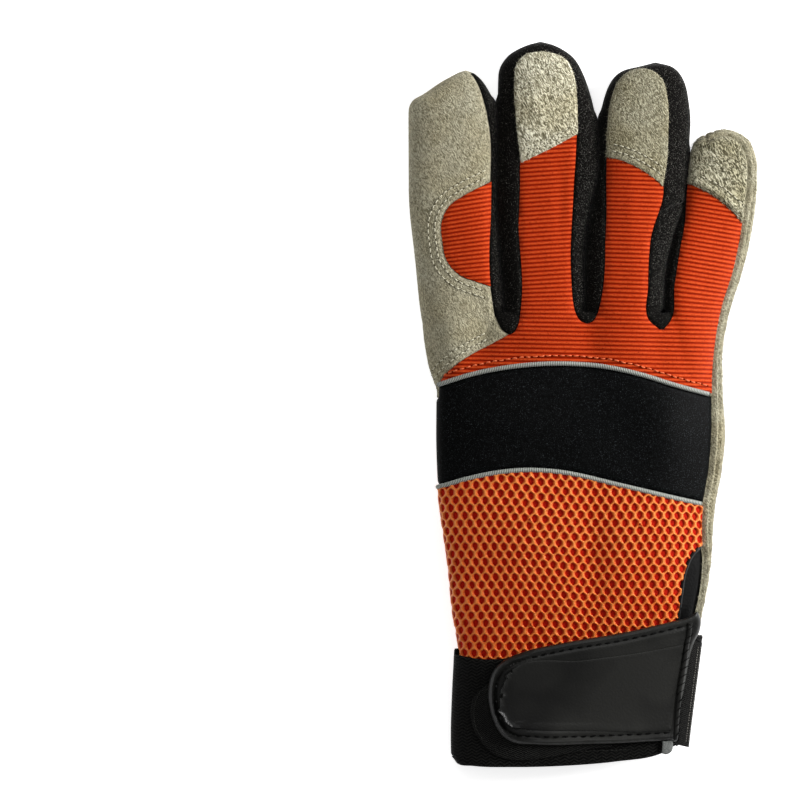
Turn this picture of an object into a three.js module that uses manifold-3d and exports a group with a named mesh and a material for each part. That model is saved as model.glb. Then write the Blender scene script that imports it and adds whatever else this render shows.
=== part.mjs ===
// A right-hand mechanic's glove, lying palm down with its thumb folded under the palm.
// Every panel is a wall cut from hollow, flattened tubes: one for the hand, one for each finger, one for
// the thumb and one for the cuff. Millimetres: X runs from the index side to the little-finger side,
// Y from the cuff to the fingertips and Z up. The origin is the middle of the footprint, on the floor.
import * as THREE from "three";
import { mergeVertices } from "three/addons/utils/BufferGeometryUtils.js";
import Module from "manifold-3d";

const wasm = await Module();
wasm.setup();

// Driving dimensions
const wall = 1.7; // leather and knit
const cuffWall = 1.6; // elastic webbing
const gap = 0.3; // between neighbouring pieces
const lap = 0.02; // by which the two halves of one piece overlap before they are joined
const squareness = 2.6; // exponent of a flattened tube's section: 2 is an ellipse, more is squarer
const handSides = 16;
const fingerSides = 12;
const reach = 130; // past the fingertips
const far = 75; // past either side of the glove
const belowHand = -100; // past the hand's end at the wrist
const underGlove = -20;
const overGlove = 60;
const pipingHalf = 0.85; // half the width that shows
const pipingProud = 0.7;
const capProud = 0.5; // a fingertip cap is sewn on over the knit
const padDepth = 1.3;
const strapThickness = 1.9;
const facingThickness = 0.7;
const facingRecess = 0.6; // how deep the strap is let in below its facing
const tapeThickness = 0.7; // the closure's loop patch and the woven tab
const gussetDrop = 2.0; // how far the slit's lining lies below the skin
const gussetWall = 1.1;
const fingerHalfDepth = 7.4;
const fingerRootY = 4; // where a finger's tube starts, inside the hand
const fingerThinning = 0.45; // a finger's depth follows this power of its width, towards its tip
const leastRadius = 0.6; // of a tube's last section
const leastDepth = 0.5;
const seamRoom = 1.3 * gap; // above and below a neighbour
const middleSteps = { x: 7, y: 22 }; // of the grid that follows a middle surface
const middleReach = { x: 70, y: 135 };
const handOpenY = -101; // the hollows run on to here, past the tubes' open ends
const thumbOpenY = -90;
const cuffOpenY = [-140, -70];

// Outlines seen from above. half is half the tube's depth.
const handRows = [
  { y: -95, left: -41.4, right: 36.6, half: 6.2 },
  { y: -87, left: -42.1, right: 38.0, half: 6.7 },
  { y: -70, left: -44.9, right: 41.2, half: 7.9 },
  { y: -57, left: -46.1, right: 43.5, half: 8.4 },
  { y: -34, left: -49.3, right: 45.6, half: 8.6 },
  { y: -10, left: -50.7, right: 49.0, half: 8.5 },
  { y: 14, left: -53.4, right: 48.0, half: 8.0 },
  { y: 23, left: -54.9, right: 48.6, half: 7.4 },
  { y: 29, left: -55.4, right: 49.4, half: 6.6 },
  { y: 32, left: -55.0, right: 49.2, half: 5.2 },
];
const indexRows = [
  { y: fingerRootY, left: -49.5, right: -27.4 },
  { y: 30, left: -55.7, right: -27.2 },
  { y: 50, left: -57.9, right: -28.9 },
  { y: 74, left: -60.1, right: -30.2 },
  { y: 101, left: -60.2, right: -30.0 },
  { y: 108, left: -55.4, right: -32.2 },
  { y: 112.5, left: -48.4, right: -34.8 },
  { y: 115.2, left: -42.6, right: -37.4 },
];
const middleRows = [
  { y: fingerRootY, left: -26.6, right: -0.3 },
  { y: 44, left: -28.1, right: 0.0 },
  { y: 57, left: -28.9, right: 0.5 },
  { y: 70, left: -29.6, right: 2.7 },
  { y: 83, left: -29.5, right: 5.0 },
  { y: 98, left: -29.4, right: 4.6 },
  { y: 114, left: -29.1, right: 0.5 },
  { y: 120.5, left: -26.0, right: -3.4 },
  { y: 124.6, left: -18.8, right: -10.2 },
];
const ringRows = [
  { y: fingerRootY, left: 0.5, right: 26.9 },
  { y: 44, left: 0.7, right: 27.9 },
  { y: 57, left: 1.2, right: 30.4 },
  { y: 70, left: 3.4, right: 35.7 },
  { y: 83, left: 5.7, right: 36.1 },
  { y: 98, left: 5.9, right: 37.1 },
  { y: 109, left: 8.8, right: 36.0 },
  { y: 115, left: 13.8, right: 33.4 },
  { y: 118.4, left: 21.6, right: 29.4 },
];
const littleRows = [
  { y: fingerRootY, left: 27.6, right: 46.0 },
  { y: 30, left: 27.8, right: 49.9 },
  { y: 44, left: 28.6, right: 54.4 },
  { y: 57, left: 31.4, right: 57.8 },
  { y: 70, left: 36.5, right: 59.8 },
  { y: 82, left: 36.9, right: 60.3 },
  { y: 90.5, left: 38.6, right: 58.0 },
  { y: 94.8, left: 45.2, right: 52.6 },
];
// The thumb lies folded flat below the palm. mid is the height of its middle above the floor, and rise
// is how much higher its edge on the index side is, where it grows out of the palm.
const thumbRows = [
  { y: -81, left: -31.2, right: 9.8, half: 4.4, mid: 11.0, rise: 0 },
  { y: -72, left: -33.0, right: 11.0, half: 4.9, mid: 7.7, rise: 4.0 },
  { y: -60, left: -36.0, right: 13.8, half: 5.1, mid: 5.3, rise: 8.5 },
  { y: -42, left: -39.6, right: 19.0, half: 5.2, mid: 4.8, rise: 11.0 },
  { y: -26, left: -40.8, right: 24.2, half: 5.2, mid: 4.8, rise: 11.0 },
  { y: -14, left: -35.5, right: 27.7, half: 5.2, mid: 4.8, rise: 9.0 },
  { y: -5, left: -23.4, right: 30.3, half: 5.2, mid: 4.8, rise: 4.0 },
  { y: 4, left: -14.4, right: 32.8, half: 5.2, mid: 4.8, rise: 0 },
  { y: 22, left: -3.9, right: 35.6, half: 5.2, mid: 4.8, rise: 0 },
  { y: 30, left: -0.4, right: 35.0, half: 5.0, mid: 4.7, rise: 0 },
  { y: 35, left: 3.2, right: 31.6, half: 4.3, mid: 4.3, rise: 0 },
  { y: 38.6, left: 9.4, right: 25.4, half: 2.8, mid: 4.0, rise: 0 },
];
const cuffRows = [
  { y: -126, left: -45.4, right: 35.6, half: 7.8 },
  { y: -114, left: -45.6, right: 37.2, half: 8.0 },
  { y: -100, left: -45.2, right: 38.8, half: 8.3 },
  { y: -86, left: -44.6, right: 40.4, half: 8.8 },
  { y: -79, left: -45.0, right: 41.8, half: 9.1 },
];
// What the closure lies on: the cuff, carried on over the end of the hand at the same depth
const closureRows = [...cuffRows, { y: -68, left: -46.2, right: 42.8, half: 9.1 }];

// Height of the glove's middle surface above the floor, at four places across the hand. The folded
// thumb lifts the palm, and the fingertips and the cuff come down to the floor.
const drapeX = [-60, -20, 20, 60];
const drapeRows = [
  { y: -130, heights: [7.3, 7.4, 7.4, 7.3] },
  { y: -112, heights: [7.4, 7.5, 7.5, 7.4] },
  { y: -84, heights: [12.4, 12.9, 12.8, 11.8] },
  { y: -60, heights: [16.8, 17.6, 17.2, 13.4] },
  { y: -35, heights: [19.0, 20.9, 20.8, 14.0] },
  { y: -5, heights: [18.2, 20.9, 21.0, 13.8] },
  { y: 25, heights: [13.2, 19.0, 20.9, 12.6] },
  { y: 45, heights: [10.4, 15.6, 18.8, 10.8] },
  { y: 65, heights: [8.2, 11.2, 14.4, 8.8] },
  { y: 90, heights: [7.0, 7.8, 9.0, 7.2] },
  { y: 112, heights: [6.8, 6.9, 7.0, 6.8] },
  { y: 130, heights: [6.8, 6.8, 6.8, 6.8] },
];

// Seams across the back of the hand, from the index side to the little-finger side
const pipingUpperLine = [
  { x: -62, y: 3.0 },
  { x: -50, y: 6.9 },
  { x: -39, y: 10.4 },
  { x: -25, y: 13.1 },
  { x: -8, y: 14.2 },
  { x: 6, y: 13.3 },
  { x: 20, y: 10.3 },
  { x: 31, y: 6.9 },
  { x: 46, y: 2.9 },
  { x: 62, y: -2.0 },
];
const pipingLowerLine = [
  { x: -62, y: -30.5 },
  { x: -50, y: -28.2 },
  { x: -40, y: -25.3 },
  { x: -30, y: -23.2 },
  { x: -20, y: -22.3 },
  { x: -9, y: -22.9 },
  { x: 12, y: -27.4 },
  { x: 28, y: -31.2 },
  { x: 43, y: -34.6 },
  { x: 62, y: -39.0 },
];
// Where the palm leather rolls up over the little-finger side on to the back
const rollSeam = [
  { x: 39.2, y: -95 },
  { x: 39.4, y: -73 },
  { x: 41.4, y: -62 },
  { x: 42.0, y: -54 },
  { x: 41.7, y: -47 },
  { x: 42.2, y: -35 },
  { x: 44.2, y: -24 },
  { x: 45.6, y: -8 },
  { x: 45.6, y: 12 },
  { x: 47.3, y: 26 },
  { x: 49.3, y: 35 },
  { x: 52.6, y: 45 },
  { x: 54.7, y: 55 },
  { x: 55.9, y: 66 },
  { x: 56.9, y: 78 },
  { x: 56.3, y: 86 },
  { x: 54.2, y: 90.4 },
  { x: 50.2, y: 92.6 },
  { x: 45.8, y: 92.4 },
  { x: 42.6, y: 90.4 },
  { x: 41.2, y: 99 },
];
// The side walls between two fingers: their left and right seams on the back, from the crotch up
const sideWallRows = [
  [
    { y: 24.8, left: -26.0, right: -24.4 },
    { y: 27.6, left: -29.6, right: -22.6 },
    { y: 34, left: -31.2, right: -21.6 },
    { y: 46, left: -32.4, right: -20.8 },
    { y: 64, left: -32.2, right: -21.7 },
    { y: 84, left: -31.4, right: -21.6 },
  ],
  [
    { y: 28.4, left: -0.3, right: 1.2 },
    { y: 31, left: -3.4, right: 4.4 },
    { y: 42, left: -4.4, right: 6.8 },
    { y: 57, left: -4.5, right: 7.7 },
    { y: 86, left: -2.3, right: 8.5 },
  ],
  [
    { y: 26, left: 26.1, right: 27.4 },
    { y: 29, left: 22.6, right: 29.8 },
    { y: 41, left: 22.2, right: 31.4 },
    { y: 57, left: 23.2, right: 34.4 },
    { y: 76, left: 27.6, right: 38.0 },
  ],
];
// The index finger's own seam with its side wall, above the rows of the table
const indexTipSeam = [
  { x: -31.5, y: 92 },
  { x: -32.4, y: 101 },
  { x: -34.4, y: 107.5 },
  { x: -37.4, y: 113 },
  { x: -39.4, y: reach },
];
const capMiddle = [
  { x: -21.4, y: 83.6 },
  { x: -11.6, y: 88.2 },
  { x: -1.7, y: 93.6 },
  { x: -1.9, y: 105.4 },
  { x: -3.0, y: 114.2 },
  { x: -5.4, y: 119.2 },
  { x: -9.4, y: 121.4 },
  { x: -15.4, y: 122.1 },
  { x: -20.0, y: 121.0 },
  { x: -22.8, y: 118.0 },
  { x: -23.7, y: 112.0 },
  { x: -23.4, y: 101.0 },
  { x: -22.3, y: 90.0 },
];
const capRing = [
  { x: 7.9, y: 85.6 },
  { x: 13.0, y: 84.4 },
  { x: 18.4, y: 82.0 },
  { x: 23.6, y: 78.8 },
  { x: 27.5, y: 75.4 },
  { x: 28.9, y: 83.0 },
  { x: 29.5, y: 94.0 },
  { x: 29.3, y: 105.6 },
  { x: 27.8, y: 111.8 },
  { x: 24.6, y: 115.2 },
  { x: 19.6, y: 116.5 },
  { x: 14.8, y: 115.6 },
  { x: 11.0, y: 112.2 },
  { x: 8.8, y: 105.4 },
  { x: 7.9, y: 97.0 },
];
const capLittle = [
  { x: 37.6, y: 75.6 },
  { x: 45.2, y: 71.9 },
  { x: 50.8, y: 67.3 },
  { x: 56.2, y: 61.6 },
  { x: 62.0, y: 70.0 },
  { x: 62.0, y: 99.0 },
  { x: 45.0, y: 99.0 },
  { x: 41.0, y: 93.4 },
  { x: 38.9, y: 90.0 },
  { x: 38.1, y: 86.0 },
];
// The half-oval of knit in the leather on the back of the index finger
const indexOval = [
  { x: -25, y: 80.2 },
  { x: -33, y: 76.3 },
  { x: -40.6, y: 72.4 },
  { x: -46.2, y: 68.4 },
  { x: -48.6, y: 63.4 },
  { x: -48.5, y: 56.4 },
  { x: -46.9, y: 49.6 },
  { x: -42.8, y: 45.0 },
  { x: -36.0, y: 42.2 },
  { x: -25, y: 39.0 },
];
// The leather's edge from the first crotch down to the knuckle band
const leatherHem = [
  { x: -26.6, y: 23.4 },
  { x: -31.4, y: 21.2 },
  { x: -38.6, y: 17.4 },
  { x: -44.2, y: 13.6 },
  { x: -50.2, y: 7.6 },
  { x: -62, y: -2.0 },
];
// The index finger's leather is a body of its own. Its lower seam runs across the palm to the crotch.
const indexRootSeam = [
  { x: -75, y: -12 },
  { x: -26.3, y: 22.9 },
  { x: -25.5, y: 24.6 },
  { x: -27.4, y: 34 },
  { x: -30, y: 70 },
  { x: -30, y: 130 },
  { x: -75, y: 130 },
];
const slitOutline = [
  { x: 41.4, y: -47.6 },
  { x: 37.6, y: -51.4 },
  { x: 35.2, y: -56.6 },
  { x: 33.6, y: -66.0 },
  { x: 32.6, y: -74.0 },
  { x: 31.0, y: -92.0 },
  { x: 38.9, y: -92.0 },
  { x: 39.2, y: -73.0 },
  { x: 41.2, y: -62.0 },
  { x: 41.8, y: -54.0 },
];
const gussetOutline = [
  { x: 43.4, y: -44.0 },
  { x: 35.4, y: -48.6 },
  { x: 32.0, y: -56.0 },
  { x: 30.0, y: -70.0 },
  { x: 29.0, y: -80.0 },
  { x: 42.0, y: -80.0 },
  { x: 43.6, y: -60.0 },
];
const cuffHem = [
  { x: -50, y: -120.4 },
  { x: -45.2, y: -121.6 },
  { x: -43.4, y: -123.9 },
  { x: -38, y: -124.7 },
  { x: -24, y: -125.0 },
  { x: -8, y: -124.6 },
  { x: 12, y: -123.0 },
  { x: 28, y: -120.8 },
  { x: 50, y: -118.4 },
];
// The cuff's upper edge, which laps over the end of the hand
const cuffEdgeBack = [
  { x: -50, y: -86.4 },
  { x: -42, y: -87.8 },
  { x: -32, y: -88.4 },
  { x: -22, y: -87.8 },
  { x: 0, y: -84.2 },
  { x: 30, y: -80.2 },
  { x: 50, y: -80.2 },
];
const cuffEdgePalm = [
  { x: -50, y: -81.4 },
  { x: 50, y: -81.4 },
];
const cuffSlit = [
  { x: 29.8, y: -132 },
  { x: 31.6, y: -76 },
  { x: 33.8, y: -76 },
  { x: 32.0, y: -132 },
];
const strapOutline = [
  { x: 37.4, y: -73.8 },
  { x: 30.0, y: -75.7 },
  { x: -3.0, y: -82.7 },
  { x: -22.0, y: -86.2 },
  { x: -28.4, y: -88.6 },
  { x: -31.7, y: -94.0 },
  { x: -32.4, y: -101.0 },
  { x: -31.0, y: -108.4 },
  { x: -28.8, y: -114.0 },
  { x: -24.6, y: -116.6 },
  { x: -14.0, y: -117.6 },
  { x: 12.0, y: -117.8 },
  { x: 32.6, y: -116.8 },
];
const facingOutline = [
  { x: 35.9, y: -79.4 },
  { x: 20.0, y: -82.4 },
  { x: -3.0, y: -86.6 },
  { x: -25.0, y: -89.6 },
  { x: -27.3, y: -94.0 },
  { x: -28.5, y: -102.4 },
  { x: -26.2, y: -109.6 },
  { x: -22.0, y: -111.6 },
  { x: 8.0, y: -112.2 },
  { x: 31.4, y: -111.8 },
];
const loopOutline = [
  { x: 10, y: -97 },
  { x: -34, y: -97 },
  { x: -37.4, y: -100.4 },
  { x: -37.6, y: -112 },
  { x: -34.4, y: -117.2 },
  { x: 10, y: -118.2 },
];
const tabOutline = [
  { x: 33.6, y: -81.0 },
  { x: 43.6, y: -81.8 },
  { x: 41.4, y: -119.4 },
  { x: 33.4, y: -118.6 },
];
const knuckleBandPalmEdge = -41.4; // the back's panels wrap round to the palm side as far as this
const wrapPalmEdge = [
  { x: knuckleBandPalmEdge, y: 6 },
  { x: knuckleBandPalmEdge, y: -29 },
  { x: -31.4, y: -81 },
  { x: -31.4, y: -95 },
];
// The thumb's seams on the side that faces the floor
const thumbKnitEdge = [
  { x: 24.6, y: 45 },
  { x: 24.0, y: 30 },
  { x: 20.8, y: 17.3 },
  { x: 16.2, y: 6.9 },
  { x: 9.8, y: -3.2 },
  { x: 2.4, y: -11.4 },
  { x: -6.2, y: -17.8 },
  { x: -16.6, y: -23.2 },
  { x: -27.0, y: -26.9 },
  { x: -44.0, y: -28.4 },
];
const thumbLeatherEdge = [
  { x: 5.4, y: 45 },
  { x: 11.4, y: 34.0 },
  { x: 12.8, y: 28.2 },
  { x: 11.2, y: 20.6 },
  { x: 5.9, y: 13.8 },
  { x: -3.4, y: 7.2 },
  { x: -13.8, y: 0.2 },
  { x: -24.0, y: -6.4 },
  { x: -50.0, y: -12.0 },
];
const knucklePadOutline = [
  { x: -42.6, y: 40.0 },
  { x: -40.2, y: 45.8 },
  { x: -35.0, y: 47.2 },
  { x: -30.2, y: 44.2 },
  { x: -25.4, y: 35.2 },
  { x: -19.0, y: 31.0 },
  { x: -13.8, y: 34.4 },
  { x: -12.6, y: 47.6 },
  { x: -9.4, y: 53.0 },
  { x: -4.6, y: 53.0 },
  { x: -0.8, y: 49.2 },
  { x: 2.6, y: 38.6 },
  { x: 8.0, y: 32.8 },
  { x: 12.8, y: 35.0 },
  { x: 16.0, y: 46.0 },
  { x: 20.4, y: 50.6 },
  { x: 26.0, y: 47.6 },
  { x: 30.2, y: 35.4 },
  { x: 34.6, y: 31.4 },
  { x: 39.2, y: 33.6 },
  { x: 43.0, y: 43.2 },
  { x: 47.2, y: 47.0 },
  { x: 50.0, y: 43.0 },
  { x: 46.6, y: 21.0 },
  { x: 42.4, y: 13.8 },
  { x: 34.0, y: 12.0 },
  { x: -23.0, y: 6.6 },
  { x: -30.4, y: 9.6 },
  { x: -37.0, y: 17.0 },
  { x: -40.8, y: 27.4 },
];
const palmPadOutline = [
  { x: 12.0, y: 2.2 },
  { x: 44.0, y: 2.2 },
  { x: 46.0, y: 0.0 },
  { x: 44.8, y: -24.0 },
  { x: 41.6, y: -54.0 },
  { x: 39.0, y: -58.6 },
  { x: 30.0, y: -61.0 },
  { x: 12.0, y: -62.4 },
  { x: 8.0, y: -40.0 },
];
// How much of a finger's width the palm leather takes, at the crotch, along the finger and at its tip.
// Under 0 or over 1 it runs off the finger's side, and beyond is how far it runs past the tip.
const palmShare = [
  { rootFrom: -1, rootTo: 0.93, from: -1, to: 0.86, tipFrom: -1, tipTo: 0.66, beyond: 9 },
  { rootFrom: 0.05, rootTo: 0.93, from: 0.12, to: 0.72, tipFrom: 0.28, tipTo: 0.62, beyond: -2.4 },
  { rootFrom: 0.05, rootTo: 0.92, from: 0.1, to: 0.68, tipFrom: 0.26, tipTo: 0.6, beyond: -2.4 },
  { rootFrom: 0.08, rootTo: 2, from: 0.36, to: 2, tipFrom: 0.3, tipTo: 2, beyond: 9 },
];
const palmCrotchY = 29.6;
const fingerMiddles = [-13.5, 18.5]; // where two side walls meet, round the middle and the ring fingertip
const stripRootLap = 1; // a finger's strip starts this far inside the palm's own outline
const stripRootRise = 8; // and follows the finger's rows from here above the crotch
const stripTipDrop = 5.5; // to here below the tip
const thumbBendEnd = 1.2; // the thumb's index side keeps rising this far past its edge
const thumbKnitWrap = 3; // the thumb's knit turns this far on to the side that faces the palm
const thumbKnitTopY = -20; // above this, leather takes the knit's place on the index side
const thumbLeatherLap = 5; // and runs this far past the thumb's edge
const recessHeadroom = 2; // above the strap's facing

const clamp = (v, low, high) => Math.min(high, Math.max(low, v));
const ease = (t) => t * t * (3 - 2 * t);

// The value that a table's rows give at one place between its stops.
function along(stops, values, at) {
  const next = stops.findIndex((stop) => stop > at);
  const i = next < 0 ? stops.length - 2 : Math.max(0, next - 1);
  const t = clamp((at - stops[i]) / (stops[i + 1] - stops[i]), 0, 1);
  return values[i] + (values[i + 1] - values[i]) * t;
}

const column = (rows, name) => rows.map((row) => row[name]);
const drapeStops = column(drapeRows, "y");
const thumbStops = column(thumbRows, "y");
const thumbColumns = {};
for (const name of ["left", "right", "mid", "rise"]) {
  thumbColumns[name] = column(thumbRows, name);
}

function drape(x, y) {
  const lastGap = drapeX.length - 1;
  const place = clamp((x - drapeX[0]) / (drapeX[lastGap] - drapeX[0]), 0, 1) * lastGap;
  const i = Math.min(lastGap - 1, Math.floor(place));
  const t = ease(place - i);
  const across = drapeRows.map((row) => row.heights[i] + (row.heights[i + 1] - row.heights[i]) * t);
  return along(drapeStops, across, y);
}

function thumbMiddle(x, y) {
  const at = (name) => along(thumbStops, thumbColumns[name], y);
  const left = at("left");
  const bendStart = (left + at("right")) / 2;
  const t = clamp((bendStart - x) / (bendStart - left), 0, thumbBendEnd);
  return at("mid") + at("rise") * t * t;
}

function solidOf(geometry) {
  const bare = new THREE.BufferGeometry();
  bare.setAttribute("position", geometry.getAttribute("position"));
  bare.setIndex(geometry.index);
  const merged = mergeVertices(bare, 1e-4);
  const mesh = new wasm.Mesh({
    numProp: 3,
    vertProperties: merged.attributes.position.array,
    triVerts: new Uint32Array(merged.index.array),
  });
  return new wasm.Manifold(mesh);
}

function indexedSolid(positions, faces) {
  const geometry = new THREE.BufferGeometry();
  geometry.setAttribute("position", new THREE.Float32BufferAttribute(positions, 3));
  geometry.setIndex(faces);
  return solidOf(geometry);
}

// A closed tube through flattened sections, one for each row, that follows a middle surface and is flat
// where it meets the floor. inset draws every wall in, and the far end with it.
function tube(rows, sides, middle, inset = 0) {
  const positions = [];
  const faces = [];
  const widest = Math.max(...rows.map((row) => row.right - row.left));
  const rounded = (v) => Math.sign(v) * Math.abs(v) ** (2 / squareness);
  rows.forEach((row, r) => {
    const nearTip = clamp((2 * r) / (rows.length - 1) - 1, 0, 1);
    const y = row.y - inset * nearTip;
    const half = row.half ?? fingerHalfDepth * ((row.right - row.left) / widest) ** fingerThinning;
    const radius = Math.max(leastRadius, (row.right - row.left) / 2 - inset);
    const depth = Math.max(leastDepth, half - inset);
    for (let s = 0; s < sides; s++) {
      const angle = ((s + 0.5) / sides) * 2 * Math.PI;
      const x = (row.left + row.right) / 2 + radius * rounded(Math.cos(angle));
      const z = middle(x, y) + depth * rounded(Math.sin(angle));
      positions.push(x, y, Math.max(inset, z));
    }
  });
  for (let r = 0; r < rows.length - 1; r++) {
    for (let s = 0; s < sides; s++) {
      const a = r * sides + s;
      const b = r * sides + ((s + 1) % sides);
      faces.push(a, b + sides, b, a, a + sides, b + sides);
    }
  }
  // Each end is closed by strips from the upper to the lower side, so it follows a bent section.
  const lastRow = (rows.length - 1) * sides;
  for (let s = 0; s < sides / 2 - 1; s++) {
    const strip = [s, s + 1, sides - 2 - s, sides - 1 - s];
    const [a, b, c, d] = strip;
    faces.push(a, b, c, a, c, d);
    const [e, f, g, h] = strip.map((i) => lastRow + i).reverse();
    faces.push(e, f, g, e, g, h);
  }
  return indexedSolid(positions, faces);
}

// A vertical prism on a plan outline, through the whole glove.
function prism(points) {
  const shape = new THREE.Shape(points.map((p) => new THREE.Vector2(p.x, p.y)));
  const depth = overGlove - underGlove;
  const geometry = new THREE.ExtrudeGeometry(shape, { depth, bevelEnabled: false });
  geometry.translate(0, 0, underGlove);
  return solidOf(geometry);
}

// An outline with every side moved outward by distance.
function grown(points, distance) {
  const plan = points.map((p) => new THREE.Vector2(p.x, p.y));
  const turn = THREE.ShapeUtils.isClockWise(plan) ? -1 : 1;
  return plan.map((p, i) => {
    const entry = p.clone().sub(plan[(i + plan.length - 1) % plan.length]).normalize();
    const exit = plan[(i + 1) % plan.length].clone().sub(p).normalize();
    const normal = new THREE.Vector2(entry.y + exit.y, -entry.x - exit.x).normalize();
    const stretch = distance / Math.max(0.5, normal.x * entry.y - normal.y * entry.x);
    return p.addScaledVector(normal, turn * stretch);
  });
}

// All that lies above, or below, a middle surface.
function halfSpace(middle, isAbove) {
  const { x: columns, y: rows } = middleSteps;
  const farLevel = isAbove ? overGlove : underGlove;
  const positions = [];
  const faces = [];
  for (const isFar of [false, true]) {
    for (let j = 0; j <= rows; j++) {
      for (let i = 0; i <= columns; i++) {
        const x = middleReach.x * ((2 * i) / columns - 1);
        const y = middleReach.y * ((2 * j) / rows - 1);
        positions.push(x, y, isFar ? farLevel : middle(x, y));
      }
    }
  }
  const layer = (columns + 1) * (rows + 1);
  const near = (i, j) => j * (columns + 1) + i;
  const quad = (a, b, c, d) => faces.push(...(isAbove ? [a, b, c, a, c, d] : [a, c, b, a, d, c]));
  for (let j = 0; j < rows; j++) {
    for (let i = 0; i < columns; i++) {
      const corners = [near(i, j), near(i, j + 1), near(i + 1, j + 1), near(i + 1, j)];
      quad(...corners);
      quad(...corners.reverse().map((c) => c + layer));
    }
  }
  const rim = (a, b) => quad(a, b, b + layer, a + layer);
  for (let i = 0; i < columns; i++) {
    rim(near(i, 0), near(i + 1, 0));
    rim(near(i + 1, rows), near(i, rows));
  }
  for (let j = 0; j < rows; j++) {
    rim(near(0, j + 1), near(0, j));
    rim(near(columns, j), near(columns, j + 1));
  }
  return indexedSolid(positions, faces);
}

const union = (solids) => solids.reduce((sum, solid) => sum.add(solid));
const cutAll = (solid, cutters) => cutters.reduce((left, cutter) => left.subtract(cutter), solid);

// The main body of a cut piece, without the chips that a cut may leave beside it.
function mainBody(solid) {
  return solid.decompose().reduce((best, body) => (body.volume() > best.volume() ? body : best));
}

// A piece with room above and below its neighbour, where the two meet at the middle surface.
function roomFor(piece, neighbour) {
  const up = neighbour.translate(0, 0, seamRoom);
  const down = neighbour.translate(0, 0, -seamRoom);
  return cutAll(piece, [neighbour, up, down]);
}

// Plan outlines between two lines that run the same way
const between = (low, high) => [...low, ...[...high].reverse()];
const shifted = (line, dy) => line.map((p) => ({ x: p.x, y: p.y + dy }));
const side = (rows, name) => rows.map((row) => ({ x: row[name], y: row.y }));
const lastOf = (list) => list[list.length - 1];
const outward = (line, x) => [{ x, y: line[0].y }, { x, y: lastOf(line).y }];

// Whole skins and hollows
const fingers = [indexRows, middleRows, ringRows, littleRows];

function handTubes(rows, inset) {
  const fingerTubes = fingers.map((finger) => tube(finger, fingerSides, drape, inset));
  return union([tube(rows, handSides, drape, inset), ...fingerTubes]);
}

const openHandRows = [{ ...handRows[0], y: handOpenY }, ...handRows];
const openThumbRows = [{ ...thumbRows[0], y: thumbOpenY }, ...thumbRows];
const hollow = handTubes(openHandRows, wall);
const thumbHollow = tube(openThumbRows, fingerSides, thumbMiddle, wall);
const thumbSkin = tube(thumbRows, fingerSides, thumbMiddle);
const thumbRoom = tube(thumbRows, fingerSides, thumbMiddle, -gap);
const thumbShell = cutAll(thumbSkin, [thumbHollow, hollow]);
const shellTo = (lift) => cutAll(handTubes(handRows, -lift), [hollow, thumbRoom]);
const shell = shellTo(0);
const above = halfSpace(drape, true);
const wellAbove = halfSpace((x, y) => drape(x, y) + lap + gap, true);
const below = halfSpace((x, y) => drape(x, y) + lap, false);

// The space of a piece that has one outline on the back and another on the palm
const wrapping = (backPrism, palmPrism) => above.intersect(backPrism).add(below.intersect(palmPrism));

// Plan outlines of the back's panels
const tipEnd = (x) => ({ x, y: reach });
const sideWallTips = [
  {
    right: [{ x: fingerMiddles[0] - gap / 2, y: 92 }, tipEnd(fingerMiddles[0] - gap / 2)],
    left: indexTipSeam,
  },
  {
    right: [{ x: fingerMiddles[1] - gap / 2, y: 94 }, tipEnd(fingerMiddles[1] - gap / 2)],
    left: [{ x: fingerMiddles[0] + gap / 2, y: 96 }, tipEnd(fingerMiddles[0] + gap / 2)],
  },
  {
    right: [{ x: 38.3, y: 86 }, { x: 39.4, y: 89.6 }, { x: 41.4, y: 91.4 }, tipEnd(41.4)],
    left: [{ x: fingerMiddles[1] + gap / 2, y: 92 }, tipEnd(fingerMiddles[1] + gap / 2)],
  },
];
const sideWallPlans = sideWallRows.map((rows, i) => {
  const left = [...side(rows, "left"), ...sideWallTips[i].left];
  return between([...side(rows, "right"), ...sideWallTips[i].right], left);
});
const rightSide = [
  { x: 0, y: belowHand },
  { x: far, y: belowHand },
  { x: far, y: reach },
  { x: 0, y: reach },
];
const rollPlan = between(rollSeam, outward(rollSeam, far));
const wrapPlan = between(
  [...leatherHem, { x: -far, y: lastOf(leatherHem).y }, { x: -far, y: reach }],
  [...side(sideWallRows[0], "left"), ...indexTipSeam],
);
const wrapPalmPlan = between(wrapPalmEdge, outward(wrapPalmEdge, -far));
const pipingPlan = (line) => between(shifted(line, -pipingHalf), shifted(line, pipingHalf));
const pipingEdge = pipingHalf + gap;
const bandPlan = between(shifted(pipingLowerLine, pipingEdge), shifted(pipingUpperLine, -pipingEdge));
const knitPlan = between(shifted(pipingUpperLine, pipingEdge), [
  { x: -far, y: reach },
  { x: far, y: reach },
]);
const meshPlan = between(
  [
    { x: -far, y: belowHand },
    { x: far, y: belowHand },
  ],
  shifted(pipingLowerLine, -pipingEdge),
);

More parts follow.
